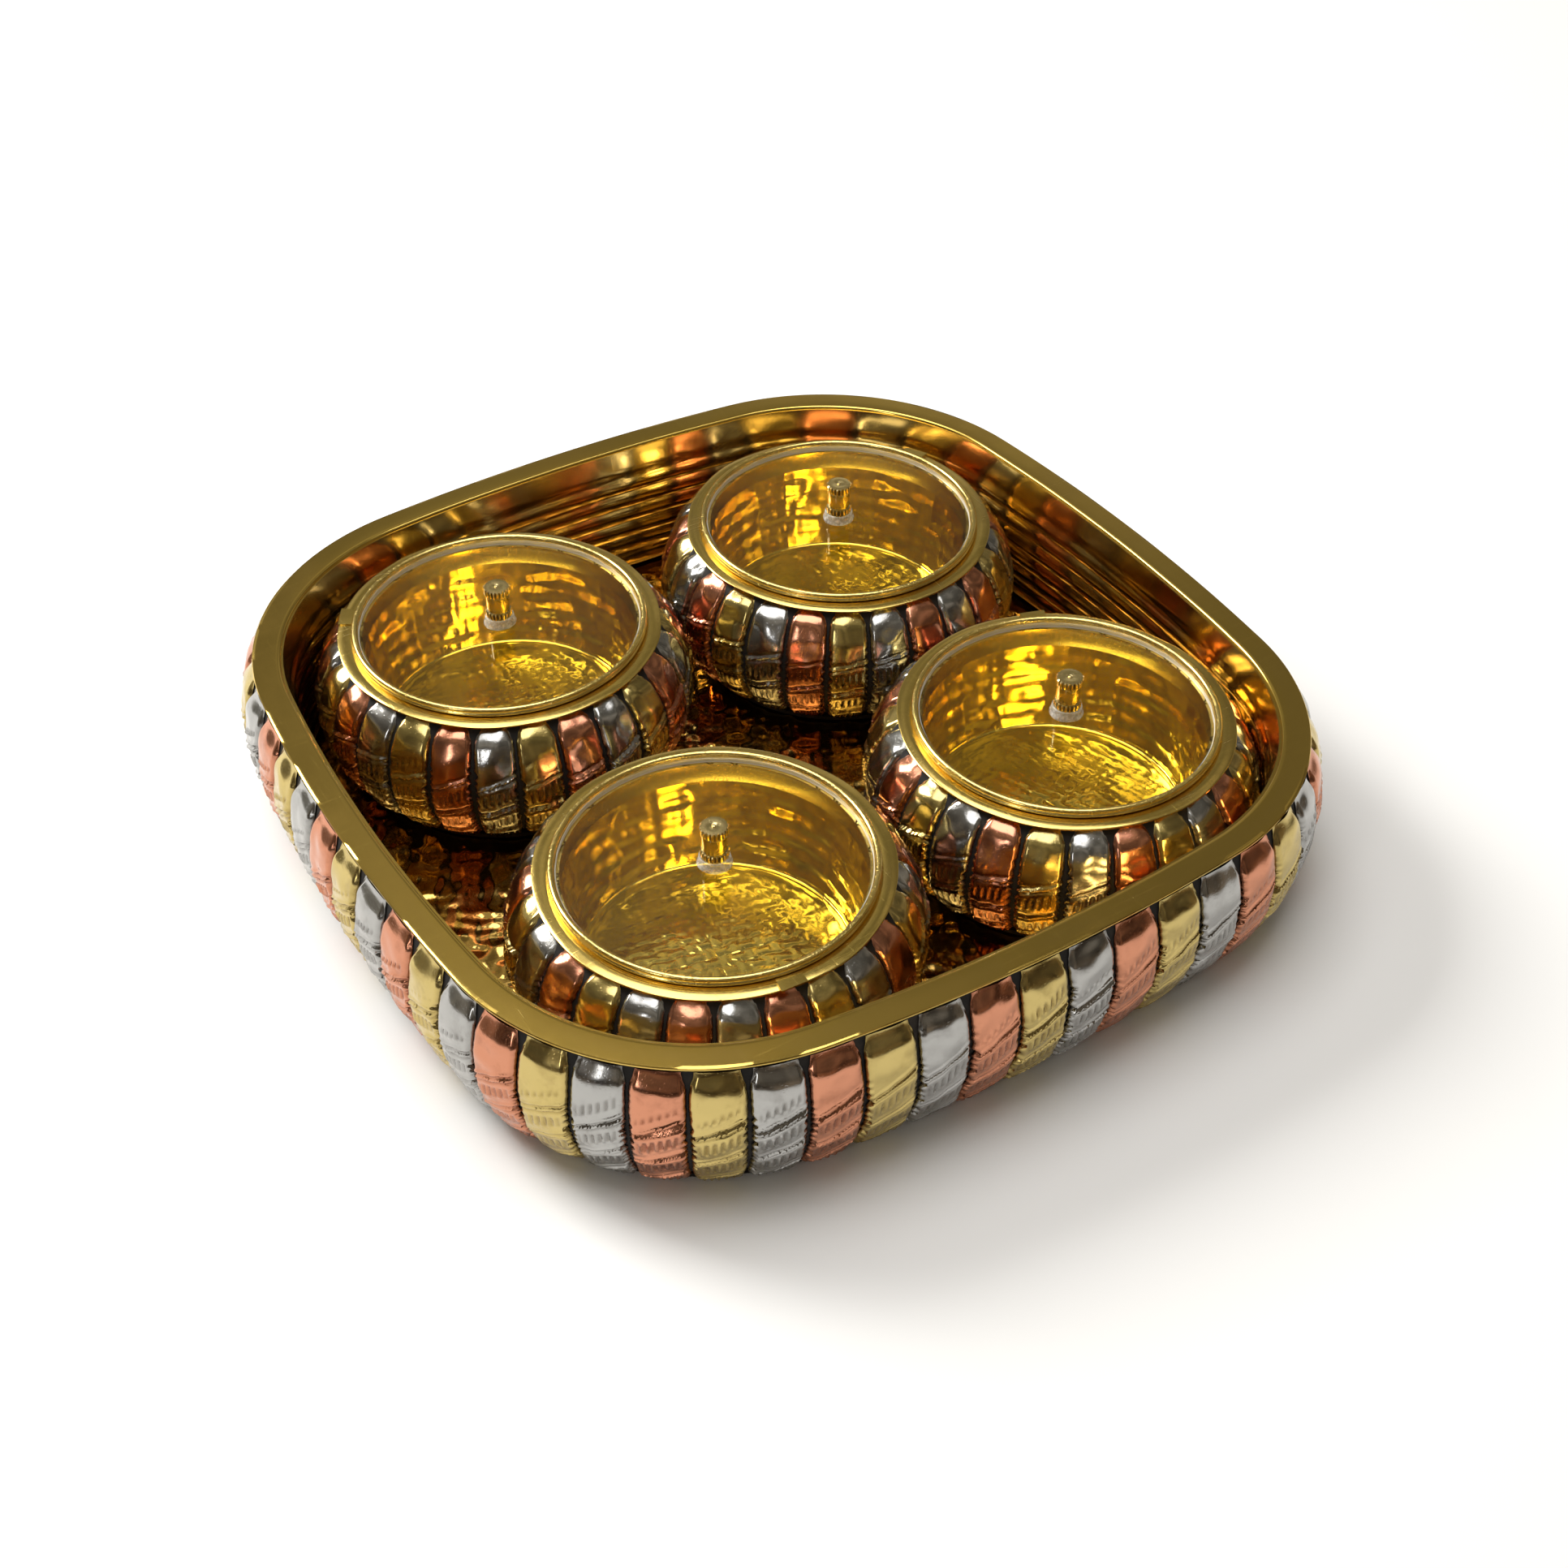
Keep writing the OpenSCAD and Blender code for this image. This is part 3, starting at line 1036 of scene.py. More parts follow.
class Cladding:
    """Strips laid side by side over a wall; a subclass says where a point lies."""

    def __init__(self, form: StripForm, arc: WallArc, z0: float, z1: float) -> None:
        """Keeps the strips' form and the wall's arc between two heights."""
        self.form = form
        self.arc = arc
        self.turns = (arc.turn_at(z0), arc.turn_at(z1))

    def place(self, index: int, x: Array, turn: Array, lift: Array) -> Array:
        """Places of points on one strip.

        Args:
            index: Number of the strip in the row.
            x: Place across the strip.
            turn: Angle on the wall's arc.
            lift: Distance outside the arc.

        Returns:
            One row of X, Y and Z for each point, in metres.
        """
        raise NotImplementedError

    def strip(self, name: str, index: int, seed: int) -> bpy.types.Object:
        """Builds one strip as an open sheet.

        Args:
            name: Name of the strip.
            index: Its number in the row.
            seed: Seed of its own differences.

        Returns:
            The strip.
        """
        rng = np.random.default_rng(seed)
        form = self.form
        xs, drops, sides = form.across()
        wave = ripple(np.linspace(0.0, 1.0, form.length_steps + 1), (2, 3, 5, 8), rng)
        tooth = rng.uniform(2.1, 2.8)
        tooth_from = rng.uniform(0.6, 0.78)
        stray = rng.uniform(0.0, 2.0 * math.pi)
        marks: list[Array] = []

        def surface(i: Array, j: Array) -> Array:
            """Places of the strip's points."""
            v = j / form.length_steps
            y = v * form.length
            side = sides[i]
            end = smooth_step(0.84, 1.0, v)
            foot = 1.0 - smooth_step(0.0, 0.06, v)
            x = xs[i] * (1.0 - form.end_narrowing * end**2 - form.foot_narrowing * foot)
            x = x + form.edge_wave * wave[j] * np.sign(xs[i])
            beat = y / tooth + 0.22 * np.sin(y * 0.55 + stray + 1.7 * np.sign(xs[i]))
            crimp = np.abs((beat % 1.0) * 2.0 - 1.0) * smooth_step(-0.1, 0.45, np.abs(side))
            crimp = crimp * (0.75 + 0.25 * np.sin(y * 0.9 + stray))
            crimp = np.where(side == 0.0, 0.0, crimp)
            low = 1.0 - smooth_step(tooth_from - 0.1, tooth_from + 0.1, v)
            x = x - np.sign(xs[i]) * crimp * (0.2 + 1.1 * low)
            relief, press_shade = form.pressed(x, y, rng)
            crown = form.crown * (1.0 - (x / (form.width / 2.0)) ** 2)
            lift = crown + relief + form.dents(x, y, rng) * (1.0 - np.abs(side))
            lift = lift - drops[i] * (1.0 + 0.25 * crimp * low)
            lift = np.maximum(lift - form.end_drop * end**1.6 - form.foot_drop * foot, -form.depth)
            turn = self.turns[0] + (self.turns[1] - self.turns[0]) * v
            # Painted shade: the pressed pattern and the turned-down edges at the gaps are stored for the
            # finish to darken.
            marks.append(np.clip(press_shade + 0.8 * np.abs(side) ** 2, 0.0, 1.0))
            return self.place(index, x, turn, lift)

        piece = shaped_grid(name, form.across_steps, form.length_steps, surface)
        mark_points(piece, marks[0])
        weld(piece)
        edit_all(piece, close_holes)
        return piece

    def row(self, name: str, indices: list[int], seed: int) -> bpy.types.Object:
        """Builds the strips of one metal as one piece.

        Args:
            name: Name of the piece.
            indices: Numbers of its strips.
            seed: Seed of their differences.

        Returns:
            The finished piece.
        """
        strips = [self.strip(f"{name}_{k}", k, seed + 7 * k) for k in indices]
        piece = join(name, strips)
        smooth(piece, 70.0)
        return piece


class TrayCladding(Cladding):
    """Strips round the tray."""

    def __init__(self, plan: Plan, count: int, gap: float, arc: WallArc, z0: float, z1: float) -> None:
        """Counts the strips out round the plan."""
        self.plan = plan
        self.pitch = plan.round_len / count
        length = arc.radius * (arc.turn_at(z1) - arc.turn_at(z0))
        form = StripForm(self.pitch - gap, length, 1.3, 25.0)
        super().__init__(form, arc, z0, z1)

    def place(self, index: int, x: Array, turn: Array, lift: Array) -> Array:
        """Places of points on one strip, in metres."""
        off, z = self.arc.point(turn, lift)
        px, py = self.plan.at(index * self.pitch + x, off)
        return np.stack([px, py, z], axis=1) * MM


class BowlCladding(Cladding):
    """Strips round a bowl."""

    def __init__(
        self, centre: Vector, start: float, count: int, gap: float, arc: WallArc, z0: float, z1: float
    ) -> None:
        """Counts the strips out round the bowl from a start angle in degrees."""
        self.centre = centre
        self.start = math.radians(start)
        self.pitch = 2.0 * math.pi / count
        self.widest = arc.middle[0]
        length = arc.radius * (arc.turn_at(z1) - arc.turn_at(z0))
        form = StripForm(
            self.pitch * self.widest - gap,
            length,
            1.25,
            15.0,
            plain_top=0.33,
            face_steps=24,
            length_steps=90,
            motif=9.5,
        )
        super().__init__(form, arc, z0, z1)

    def place(self, index: int, x: Array, turn: Array, lift: Array) -> Array:
        """Places of points on one strip, in metres."""
        radius, z = self.arc.point(turn, lift)
        angle = self.start + index * self.pitch + x / self.widest
        c = self.centre
        return np.stack(
            [c.x + radius * np.cos(angle) * MM, c.y + radius * np.sin(angle) * MM, c.z + z * MM], axis=1
        )


# ------------------------------------------------------------------ tray


@dataclass
class Tray:
    """Tray with its strips, rim, ribbed lining and hammered floor. Millimetres."""

    strips: int = 63
    gap: float = 0.5
    ribs: int = 6
    rib_band: float = 34.0
    rim_w: float = 7.5
    tuck: float = 4.8
    rim_t: float = 0.8
    bulge: float = 4.4
    top_off: float = 0.8
    order: tuple[Metal, Metal, Metal] = (Metal.SILVER, Metal.COPPER, Metal.BRASS)

    def __post_init__(self) -> None:
        """Reads the sizes that the frame holds."""
        rim_low, rim_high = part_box("tray_rim")
        floor_low, floor_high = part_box("tray_floor")
        self.rim_low = rim_low[2] / MM
        self.rim_top = rim_high[2] / MM
        self.floor_low = floor_low[2] / MM
        self.floor_top = floor_high[2] / MM
        self.plan = Plan(rim_high[0] / MM, self.bulge)

    def build(self) -> None:
        """Builds and dresses every piece of the tray."""
        self.build_strips()
        self.build_rim()
        self.build_liner()
        self.build_floor()
        for node in ("tray_shell", "tray_base"):
            dress(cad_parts[node], BLACK)

    def build_strips(self) -> None:
        """Builds the three rows of strips."""
        arc = WallArc(
            (-self.tuck, self.floor_low),
            (self.bulge, (self.floor_low + self.rim_low) / 2.0),
            (self.top_off, self.rim_low),
        )
        cladding = TrayCladding(
            self.plan, self.strips, self.gap, arc, self.floor_low + 0.6, self.rim_low - 0.1
        )
        for number, metal in enumerate(self.order):
            indices = list(range(number, self.strips, 3))
            piece = cladding.row(f"cladding_tray_{metal.value}", indices, 101 + number)
            dress(piece, STRIPS[metal])
            seat(piece, "tray", f"strip_{metal.value}", f"tray_strips_{metal.value}")

    def swept(
        self, name: str, outline: list[tuple[float, float]], steps: int, wobble: Array | None = None
    ) -> bpy.types.Object:
        """Sweeps a closed outline round the plan.

        Args:
            name: Name of the new piece.
            outline: Offset and height of each point.
            steps: Number of steps round the plan.
            wobble: Offset to add at each step for each point of the outline.

        Returns:
            The swept piece.
        """
        offs = np.array([p[0] for p in outline] + [outline[0][0]])
        heights = np.array([p[1] for p in outline] + [outline[0][1]])
        shift = np.zeros((steps, len(outline))) if wobble is None else wobble

        def surface(i: Array, j: Array) -> Array:
            """Places of the swept points."""
            step = i % steps
            corner = j % len(outline)
            length = step / steps * self.plan.round_len
            px, py = self.plan.at(length, offs[j] + shift[step, corner])
            return np.stack([px, py, heights[j]], axis=1) * MM

        piece = shaped_grid(name, steps, len(outline), surface)
        weld(piece)
        return piece

    def build_rim(self) -> None:
        """Builds the flat rim, with a rolled inner edge that is a little uneven."""
        steps = 360
        top, low = self.rim_top, self.rim_low
        inner = -self.rim_w
        outline = [
            (-0.35, low),
            (-0.02, low + 0.15),
            (0.0, top - 0.25),
            (-0.25, top - 0.02),
            (-1.2, top),
            (inner * 0.5, top - 0.03),
            (inner + 1.1, top),
            (inner + 0.45, top - 0.04),
            (inner + 0.05, top - 0.2),
            (inner - 0.2, top - 0.5),
            (inner - 0.34, top - 0.95),
            (inner - 0.4, top - 1.7),
            (inner - self.rim_t, top - 1.7),
            (inner - self.rim_t, low),
        ]
        rng = np.random.default_rng(5)
        around = np.arange(steps) / steps
        uneven = 0.22 * ripple(around, (5, 9, 14, 23), rng)
        wobble = np.zeros((steps, len(outline)))
        for point in range(6, len(outline) - 1):
            wobble[:, point] = uneven
        wobble[:, 1] = 0.08 * ripple(around, (11, 17, 29), rng)
        wobble[:, 2] = wobble[:, 1]
        piece = self.swept("rim_band", outline, steps, wobble)
        smooth(piece, 40.0)
        dress(piece, BRASS["rim"])
        seat(piece, "tray", "rim_brass", "tray_rim")

    def build_liner(self) -> None:
        """Builds the ribbed lining with a plain band at its top."""
        steps = 300
        back = -self.rim_w - self.rim_t
        face = back - 0.7
        per_rib = 7
        outline = [(back, self.floor_top), (back, self.rim_low)]
        band_z = self.floor_top + self.rib_band
        for share in (1.0, 0.85, 0.65, 0.4, 0.2):
            flare = 0.62 * share**1.5 - 0.75 * (1.0 - share)
            outline.append((face + flare, band_z + (self.rim_low - band_z) * share))
        for i in range(self.ribs * per_rib, -1, -1):
            share = (i % per_rib) / per_rib
            height = self.floor_top + self.rib_band * i / (self.ribs * per_rib)
            outline.append((face - 0.2 - 0.8 * math.sin(math.pi * share) ** 0.8, height))
        rng = np.random.default_rng(11)
        around = np.arange(steps) / steps
        wobble = np.zeros((steps, len(outline)))
        for point in range(4, len(outline)):
            wobble[:, point] = 0.07 * ripple(around + 0.01 * point, (7, 13, 21), rng)
        piece = self.swept("wall_lining", outline, steps, wobble)
        smooth(piece, 50.0)
        dress(piece, BRASS["liner"])
        seat(piece, "tray", "ribbed_brass", "tray_liner")

    def build_floor(self) -> None:
        """Builds the hammered floor as a dense sheet with a flat underside."""
        steps = 240
        off = -self.rim_w - self.rim_t
        rng = np.random.default_rng(23)

        def surface(i: Array, j: Array) -> Array:
            """Takes a square grid onto the rounded plan and hammers it."""
            a = i / steps * 2.0 - 1.0
            b = j / steps * 2.0 - 1.0
            size = np.maximum(np.abs(a), np.abs(b))
            safe = np.where(size > 0.0, size, 1.0)
            a, b = a / safe, b / safe
            half = self.plan.quarter_len / 2.0
            length = np.select(
                [(a >= np.abs(b)), (b >= np.abs(a)), (-a >= np.abs(b))],
                [b * half, half * (2.0 - a), half * (4.0 - b)],
                half * (6.0 + a),
            )
            px, py = self.plan.at(length, np.full(length.shape, off))
            x, y = px * size, py * size
            marks = hammer_marks(x, y, 6.2, rng)
            fine = hammer_marks(x + 0.4 * y, y, 4.1, rng)
            rows = np.sin(math.pi * (x + 0.3 * y) / 2.9) * np.sin(math.pi * (y - 0.3 * x) / 2.9)
            edge = 1.0 - smooth_step(0.93, 0.98, size)
            height = -0.85 + edge * (0.40 * marks + 0.22 * fine + 0.11 * np.tanh(1.6 * rows))
            return np.stack([x, y, self.floor_top + np.minimum(height, -0.02)], axis=1) * MM

        piece = shaped_grid("hammered_floor", steps, steps, surface)
        base = self.floor_low * MM

        def flatten() -> None:
            """Draws the rim of the sheet down to a flat underside and closes it."""
            bpy.ops.mesh.select_all(action="DESELECT")
            bpy.ops.mesh.select_mode(type="EDGE")
            bpy.ops.mesh.select_non_manifold()
            bpy.ops.mesh.extrude_region_move(TRANSFORM_OT_translate={"value": (0.0, 0.0, 0.0)})
            bpy.ops.transform.resize(value=(1.0, 1.0, 0.0), center_override=(0.0, 0.0, base))
            bpy.ops.mesh.edge_face_add()

        edit_all(piece, flatten)
        weld(piece)
        smooth(piece, 60.0)
        dress(piece, BRASS["floor"])
        seat(piece, "tray", "hammered_brass", "tray_floor")


# ------------------------------------------------------------------ bowls


@dataclass
class Bowl:
    """One bowl with its strips, flange and cup. Millimetres and degrees."""

    number: int
    start: float
    order: tuple[Metal, Metal, Metal]
    strips: int = 26
    gap: float = 0.5
    joint_at: float = 0.0
    mouth_r: float = 40.8
    cup_floor_r: float = 36.2
    cup_t: float = 0.7
    floor_cell: float = 3.6
    weave_deep: float = 0.15
    bulge: float = 9.8

    def __post_init__(self) -> None:
        """Reads the sizes that the frame holds."""
        self.body = f"bowl_{self.number}"
        low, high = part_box(f"{self.body}_flange")
        foot_low, foot_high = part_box(f"{self.body}_foot")
        cup_low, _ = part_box(f"{self.body}_cup")
        self.centre = Vector(((low[0] + high[0]) / 2.0, (low[1] + high[1]) / 2.0, foot_low[2]))
        self.flange_r = (high[0] - low[0]) / 2.0 / MM
        self.flange_low = (low[2] - foot_low[2]) / MM
        self.height = (high[2] - foot_low[2]) / MM
        self.foot_r = (foot_high[0] - foot_low[0]) / 2.0 / MM
        self.foot_t = (foot_high[2] - foot_low[2]) / MM
        self.cup_low = (cup_low[2] - foot_low[2]) / MM

    def build(self) -> None:
        """Builds and dresses every piece of the bowl."""
        self.build_strips()
        self.build_flange()
        self.build_cup()
        for part in ("shell", "foot"):
            dress(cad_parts[f"{self.body}_{part}"], BLACK)

    def build_strips(self) -> None:
        """Builds the three rows of strips."""
        arc = WallArc(
            (self.foot_r, self.foot_t),
            (self.foot_r + self.bulge, (self.foot_t + self.height) / 2.0),
            (self.flange_r - 0.8, self.flange_low),
        )
        cladding = BowlCladding(
            self.centre, self.start, self.strips, self.gap, arc, self.foot_t + 1.4, self.flange_low - 0.1
        )
        for number, metal in enumerate(self.order):
            indices = list(range(number, self.strips, 3))
            name = f"cladding_{self.body}_{metal.value}"
            piece = cladding.row(name, indices, 1000 * self.number + number)
            dress(piece, STRIPS[metal])
            seat(piece, self.body, f"strip_{metal.value}", f"{self.body}_strips_{metal.value}")

    def build_flange(self) -> None:
        """Builds the flange with an uneven edge and a lapped joint."""
        low, top = self.flange_low, self.height
        outline = [
            (self.mouth_r, low),
            (self.mouth_r, top - 0.1),
            (self.mouth_r + 0.2, top),
            (self.mouth_r + 2.4, top - 0.03),
            (self.flange_r - 0.3, top),
            (self.flange_r, top - 0.2),
            (self.flange_r, low + 0.2),
            (self.flange_r - 0.3, low),
        ]
        piece = turned(f"{self.body}_flange_ring", self.centre, outline, 180)
        rng = np.random.default_rng(300 + self.number)
        places, radius, angle = round_places(piece, self.centre)
        turn = (angle / (2.0 * math.pi)) % 1.0
        outward = smooth_step(self.mouth_r + 1.5, self.flange_r - 0.4, radius)
        grow = 1.0 + outward * 0.35 * ripple(turn, (3, 5, 8, 13), rng) / self.flange_r
        spread(places, self.centre, grow)
        places[:, 2] += outward * 0.16 * MM * ripple(turn, (4, 7, 11), rng) - outward * 0.1 * MM
        move_points(piece, places)
        lap = self.build_lap(top)
        piece = join(f"{self.body}_flange_ring", [piece, lap])
        smooth(piece, 45.0)
        dress(piece, BRASS["flange"])
        seat(piece, self.body, "flange_brass", f"{self.body}_flange")

    def build_lap(self, top: float) -> bpy.types.Object:
        """Builds the lapped end of the flange's sheet, cut square.

        Args:
            top: Height of the flange.

        Returns:
            The lap.
        """
        steps, turn = 6, math.radians(9.0)
        start = math.radians(self.joint_at)
        inner, outer = self.mouth_r + 1.3, self.flange_r + 0.25

        def surface(i: Array, j: Array) -> Array:
            """Places of the lap's points."""
            angle = start + turn * i / steps
            reach = outer + 0.55 * (1.0 - i / steps) ** 2
            radius = (inner + (reach - inner) * j / 2.0) * MM
            z = self.centre.z + (top + 0.28 - 0.2 * (i / steps) ** 2) * MM
            return np.stack(
                [self.centre.x + radius * np.cos(angle), self.centre.y + radius * np.sin(angle), z], axis=1
            )

        piece = shaped_grid(f"{self.body}_lap", steps, 2, surface)
        apply_modifier(piece, "SOLIDIFY", thickness=0.4 * MM, offset=0.0)
        weld(piece)
        return piece

    def build_cup(self) -> None:
        """Builds the cup, with a rippled wall and a dimpled floor."""
        top = self.flange_low
        floor = self.cup_low + self.cup_t
        rings = 26
        outline = [(0.0, self.cup_low), (self.cup_floor_r - 1.0, self.cup_low)]
        outline += [(self.cup_floor_r + self.cup_t, self.cup_low + 0.4)]
        outline += [(self.mouth_r + self.cup_t, top), (self.mouth_r, top)]
        for i in range(1, rings):
            share = i / rings
            radius = self.mouth_r + (self.cup_floor_r - self.mouth_r) * share
            outline.append((radius, top + (floor + 0.6 - top) * share))
        outline += [
            (self.cup_floor_r, floor + 0.55),
            (self.cup_floor_r - 0.12, floor + 0.1),
            (self.cup_floor_r - 0.45, floor - 0.25),
            (self.cup_floor_r - 0.95, floor - 0.2),
            (self.cup_floor_r - 1.3, floor + 0.05),
        ]
        floor_rings = 50
        for i in range(1, floor_rings):
            outline.append(((self.cup_floor_r - 1.3) * (1.0 - i / floor_rings), floor + 0.05))
        outline.append((0.0, floor + 0.05))
        piece = turned(f"{self.body}_cup_sheet", self.centre, outline, 216)
        self.press_cup(piece, floor, top)
        smooth(piece, 60.0)
        dress(piece, BRASS["cup"])
        seat(piece, self.body, "cup_brass", f"{self.body}_cup")

    def press_cup(self, piece: bpy.types.Object, floor: float, top: float) -> None:
        """Ripples the wall and presses a pattern of woven squares into the floor.

        Args:
            piece: The cup.
            floor: Height of its floor.
            top: Height of its mouth.
        """
        rng = np.random.default_rng(500 + self.number)
        places = points_of(piece)
        x = (places[:, 0] - self.centre.x) / MM
        y = (places[:, 1] - self.centre.y) / MM
        z = (places[:, 2] - self.centre.z) / MM
        radius = np.hypot(x, y)
        turn = np.arctan2(y, x)
        share = np.clip((z - floor) / (top - floor), 0.0, 1.0)
        wall_r = self.cup_floor_r + (self.mouth_r - self.cup_floor_r) * share
        on_wall = (radius < wall_r + 0.3) & (z > floor + 0.5) & (z < top - 0.5)
        facets = hammer_marks(turn * 38.0 * 0.75, z * 0.8, 5.0, rng)
        tiers = np.sin(2.0 * math.pi * z / 5.2 + 1.5 * np.sin(3.0 * turn + rng.uniform(0.0, 6.0)))
        fade = smooth_step(floor + 0.6, floor + 3.0, z) * (1.0 - smooth_step(top - 9.0, top - 7.0, z))
        push = np.where(on_wall, fade * (0.42 * facets + 0.16 * tiers), 0.0)
        on_floor = (radius < self.cup_floor_r - 1.4) & (z > floor - 0.5) & (z < floor + 0.5)
        angle = math.radians(-20.0 + 9.0 * self.number)
        a = x * math.cos(angle) + y * math.sin(angle)
        b = -x * math.sin(angle) + y * math.cos(angle)
        a, b = a / self.floor_cell, b / self.floor_cell
        turned_cell = np.mod(np.floor(a) + np.floor(b), 2.0) > 0.5
        weave = np.abs(np.sin(math.pi * np.where(turned_cell, a, b))) - 0.6
        soft = hammer_marks(x, y, 9.0, rng)
        calm = 1.0 - smooth_step(self.cup_floor_r - 4.0, self.cup_floor_r - 1.5, radius)
        lift = np.where(on_floor, calm * (self.weave_deep * weave + 0.12 * soft), 0.0)
        scale = 1.0 + push / np.maximum(radius, 1.0)
        places[:, 0] = self.centre.x + x * scale * MM
        places[:, 1] = self.centre.y + y * scale * MM
        places[:, 2] += lift * MM
        move_points(piece, places)


# ------------------------------------------------------------------ lids


@dataclass
class Lid:
    """One lid: brass ring, clear disc, bonding collar and knob. Millimetres."""

    number: int
    knob_turn: float = 0.0
    flutes: int = 20
    flute_deep: float = 0.48
    knob_end: float = 2.1
    waist_share: float = 0.87
    pip_h: float = 0.25
    bead_w: float = 1.8
    skirt_in: float = 1.2
    skirt_t: float = 0.7

    def __post_init__(self) -> None:
        """Reads the sizes that the frame holds."""
        self.body = f"lid_{self.number}"
        ring_low, ring_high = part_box(f"{self.body}_ring")
        disc_low, disc_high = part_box(f"{self.body}_disc")
        knob_low, knob_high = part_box(f"{self.body}_knob")
        flange_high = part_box(f"bowl_{self.number}_flange")[1]
        self.seat_z = flange_high[2]
        self.centre = Vector(
            ((ring_low[0] + ring_high[0]) / 2.0, (ring_low[1] + ring_high[1]) / 2.0, self.seat_z)
        )
        self.ring_r = (ring_high[0] - ring_low[0]) / 2.0 / MM
        self.ring_h = (ring_high[2] - self.seat_z) / MM
        self.skirt = (ring_low[2] - self.seat_z) / MM
        self.disc_r = (disc_high[0] - disc_low[0]) / 2.0 / MM
        self.disc_z = (disc_low[2] - self.seat_z) / MM
        self.disc_top = (disc_high[2] - self.seat_z) / MM
        self.knob_r = (knob_high[0] - knob_low[0]) / 2.0 / MM
        self.knob_z = (knob_low[2] - self.seat_z) / MM
        self.knob_h = (knob_high[2] - knob_low[2]) / MM - self.pip_h

    def build(self) -> None:
        """Builds and dresses every piece of the lid."""
        self.build_ring()
        self.build_disc()
        self.build_collar()
        self.build_knob()

    def build_ring(self) -> None:
        """Builds the ring with its bead, foot moulding, seat and skirt."""
        r, h, z = self.ring_r, self.ring_h, self.disc_z
        seat_r = r - self.bead_w
        inner = seat_r - self.skirt_in
        outer = inner + self.skirt_t
        outline = [
            (seat_r, z),
            (inner, z),
            (inner, self.skirt + 0.2),
            (inner + 0.15, self.skirt),
            (outer - 0.15, self.skirt),
            (outer, self.skirt + 0.2),
            (outer, z - 0.7),
            (seat_r + 0.5, z - 0.7),
            (seat_r + 0.5, 0.0),
            (r - 0.75, 0.02),
            (r - 0.45, 0.14),
            (r - 0.12, 0.28),
            (r, 0.52),
            (r - 0.06, 0.76),
            (r - 0.28, 0.94),
            (r - 0.36, 1.08),
            (r - 0.26, 1.2),
            (r - 0.13, 1.42),
            (r - 0.12, 1.72),
            (r - 0.24, 2.0),
            (r - 0.5, h - 0.14),
            (r - 0.82, h),
            (r - 1.15, h - 0.02),
            (r - 1.5, h - 0.18),
            (seat_r, h - 0.5),
        ]
        piece = turned(f"{self.body}_bezel", self.centre, outline, 192)
        smooth(piece, 50.0)
        dress(piece, BRASS["ring"])
        seat(piece, self.body, "ring_brass", f"{self.body}_ring")

    def build_disc(self) -> None:
        """Builds the clear disc with softened edges."""
        r, low, top = self.disc_r, self.disc_z, self.disc_top
        outline = [(0.0, low), (r * 0.5, low), (r - 0.15, low), (r, low + 0.15), (r, top - 0.15)]
        outline += [(r - 0.15, top), (r * 0.5, top), (0.0, top)]
        piece = turned(f"{self.body}_window", self.centre, outline, 128)
        smooth(piece, 30.0)
        dress(piece, ClearAcrylic(f"clear_acrylic_{self.number}", tuple(self.centre), r * MM))
        seat(piece, self.body, "clear_acrylic", f"{self.body}_disc")

    def build_collar(self) -> None:
        """Builds the clear collar, a little uneven, as set compound is."""
        low, high = self.disc_top, self.knob_z
        r = self.knob_r
        outline = [(0.0, low), (r + 0.85, low), (r + 0.9, low + 0.3), (r + 0.72, low + 0.8)]
        outline += [(r + 0.5, low + 1.5), (r + 0.42, high - 0.35), (r + 0.3, high + 0.1)]
        outline += [(r + 0.02, high + 0.22), (r - 0.15, high - 0.1), (0.0, high - 0.1)]
        piece = turned(f"{self.body}_bond", self.centre, outline, 48)
        rng = np.random.default_rng(700 + self.number)
        places, radius, angle = round_places(piece, self.centre)
        turn = (angle / (2.0 * math.pi)) % 1.0
        reach = smooth_step(r * 0.6, r + 0.3, radius)
        spread(places, self.centre, 1.0 + reach * 0.035 * ripple(turn, (2, 3, 5), rng))
        move_points(piece, places)
        smooth(piece, 50.0)
        dress(piece, BOND)
        seat(piece, self.body, "clear_bond", f"{self.body}_collar")

    def build_knob(self) -> None:
        """Builds the knob: two fluted ends, a plain waist and a centre pip."""
        r, z, h = self.knob_r, self.knob_z, self.knob_h
        waist = r * self.waist_share
        end = self.knob_end
        outline = [
            (0.0, z),
            (r - 0.35, z),
            (r, z + 0.25),
            (r, z + end - 0.25),
            (r - 0.2, z + end),
            (waist, z + end + 0.05),
            (waist, z + h / 2.0),
            (waist, z + h - end - 0.05),
            (r - 0.2, z + h - end),
            (r, z + h - end + 0.25),
            (r, z + h - 0.3),
            (r - 0.35, z + h),
            (r - 1.2, z + h + 0.06),
            (0.75, z + h + 0.02),
            (0.55, z + h - 0.06),
            (0.45, z + h + 0.16),
            (0.2, z + h + self.pip_h),
            (0.0, z + h + self.pip_h),
        ]
        per_flute = 6
        piece = turned(f"{self.body}_knob_turned", self.centre, outline, self.flutes * per_flute)
        places, radius, angle = round_places(piece, self.centre)
        turn = angle * self.flutes + self.knob_turn
        cut = smooth_step(0.35, 0.75, 0.5 - 0.5 * np.cos(turn))
        reach = smooth_step(r - 0.45, r - 0.05, radius)
        height = (places[:, 2] - self.centre.z) / MM - z
        inner = np.minimum(np.abs(height - end), np.abs(height - (h - end)))
        waist_corner_shade = (1.0 - smooth_step(0.0, 0.5, inner)) * (1.0 - smooth_step(waist, waist + 0.4, radius))
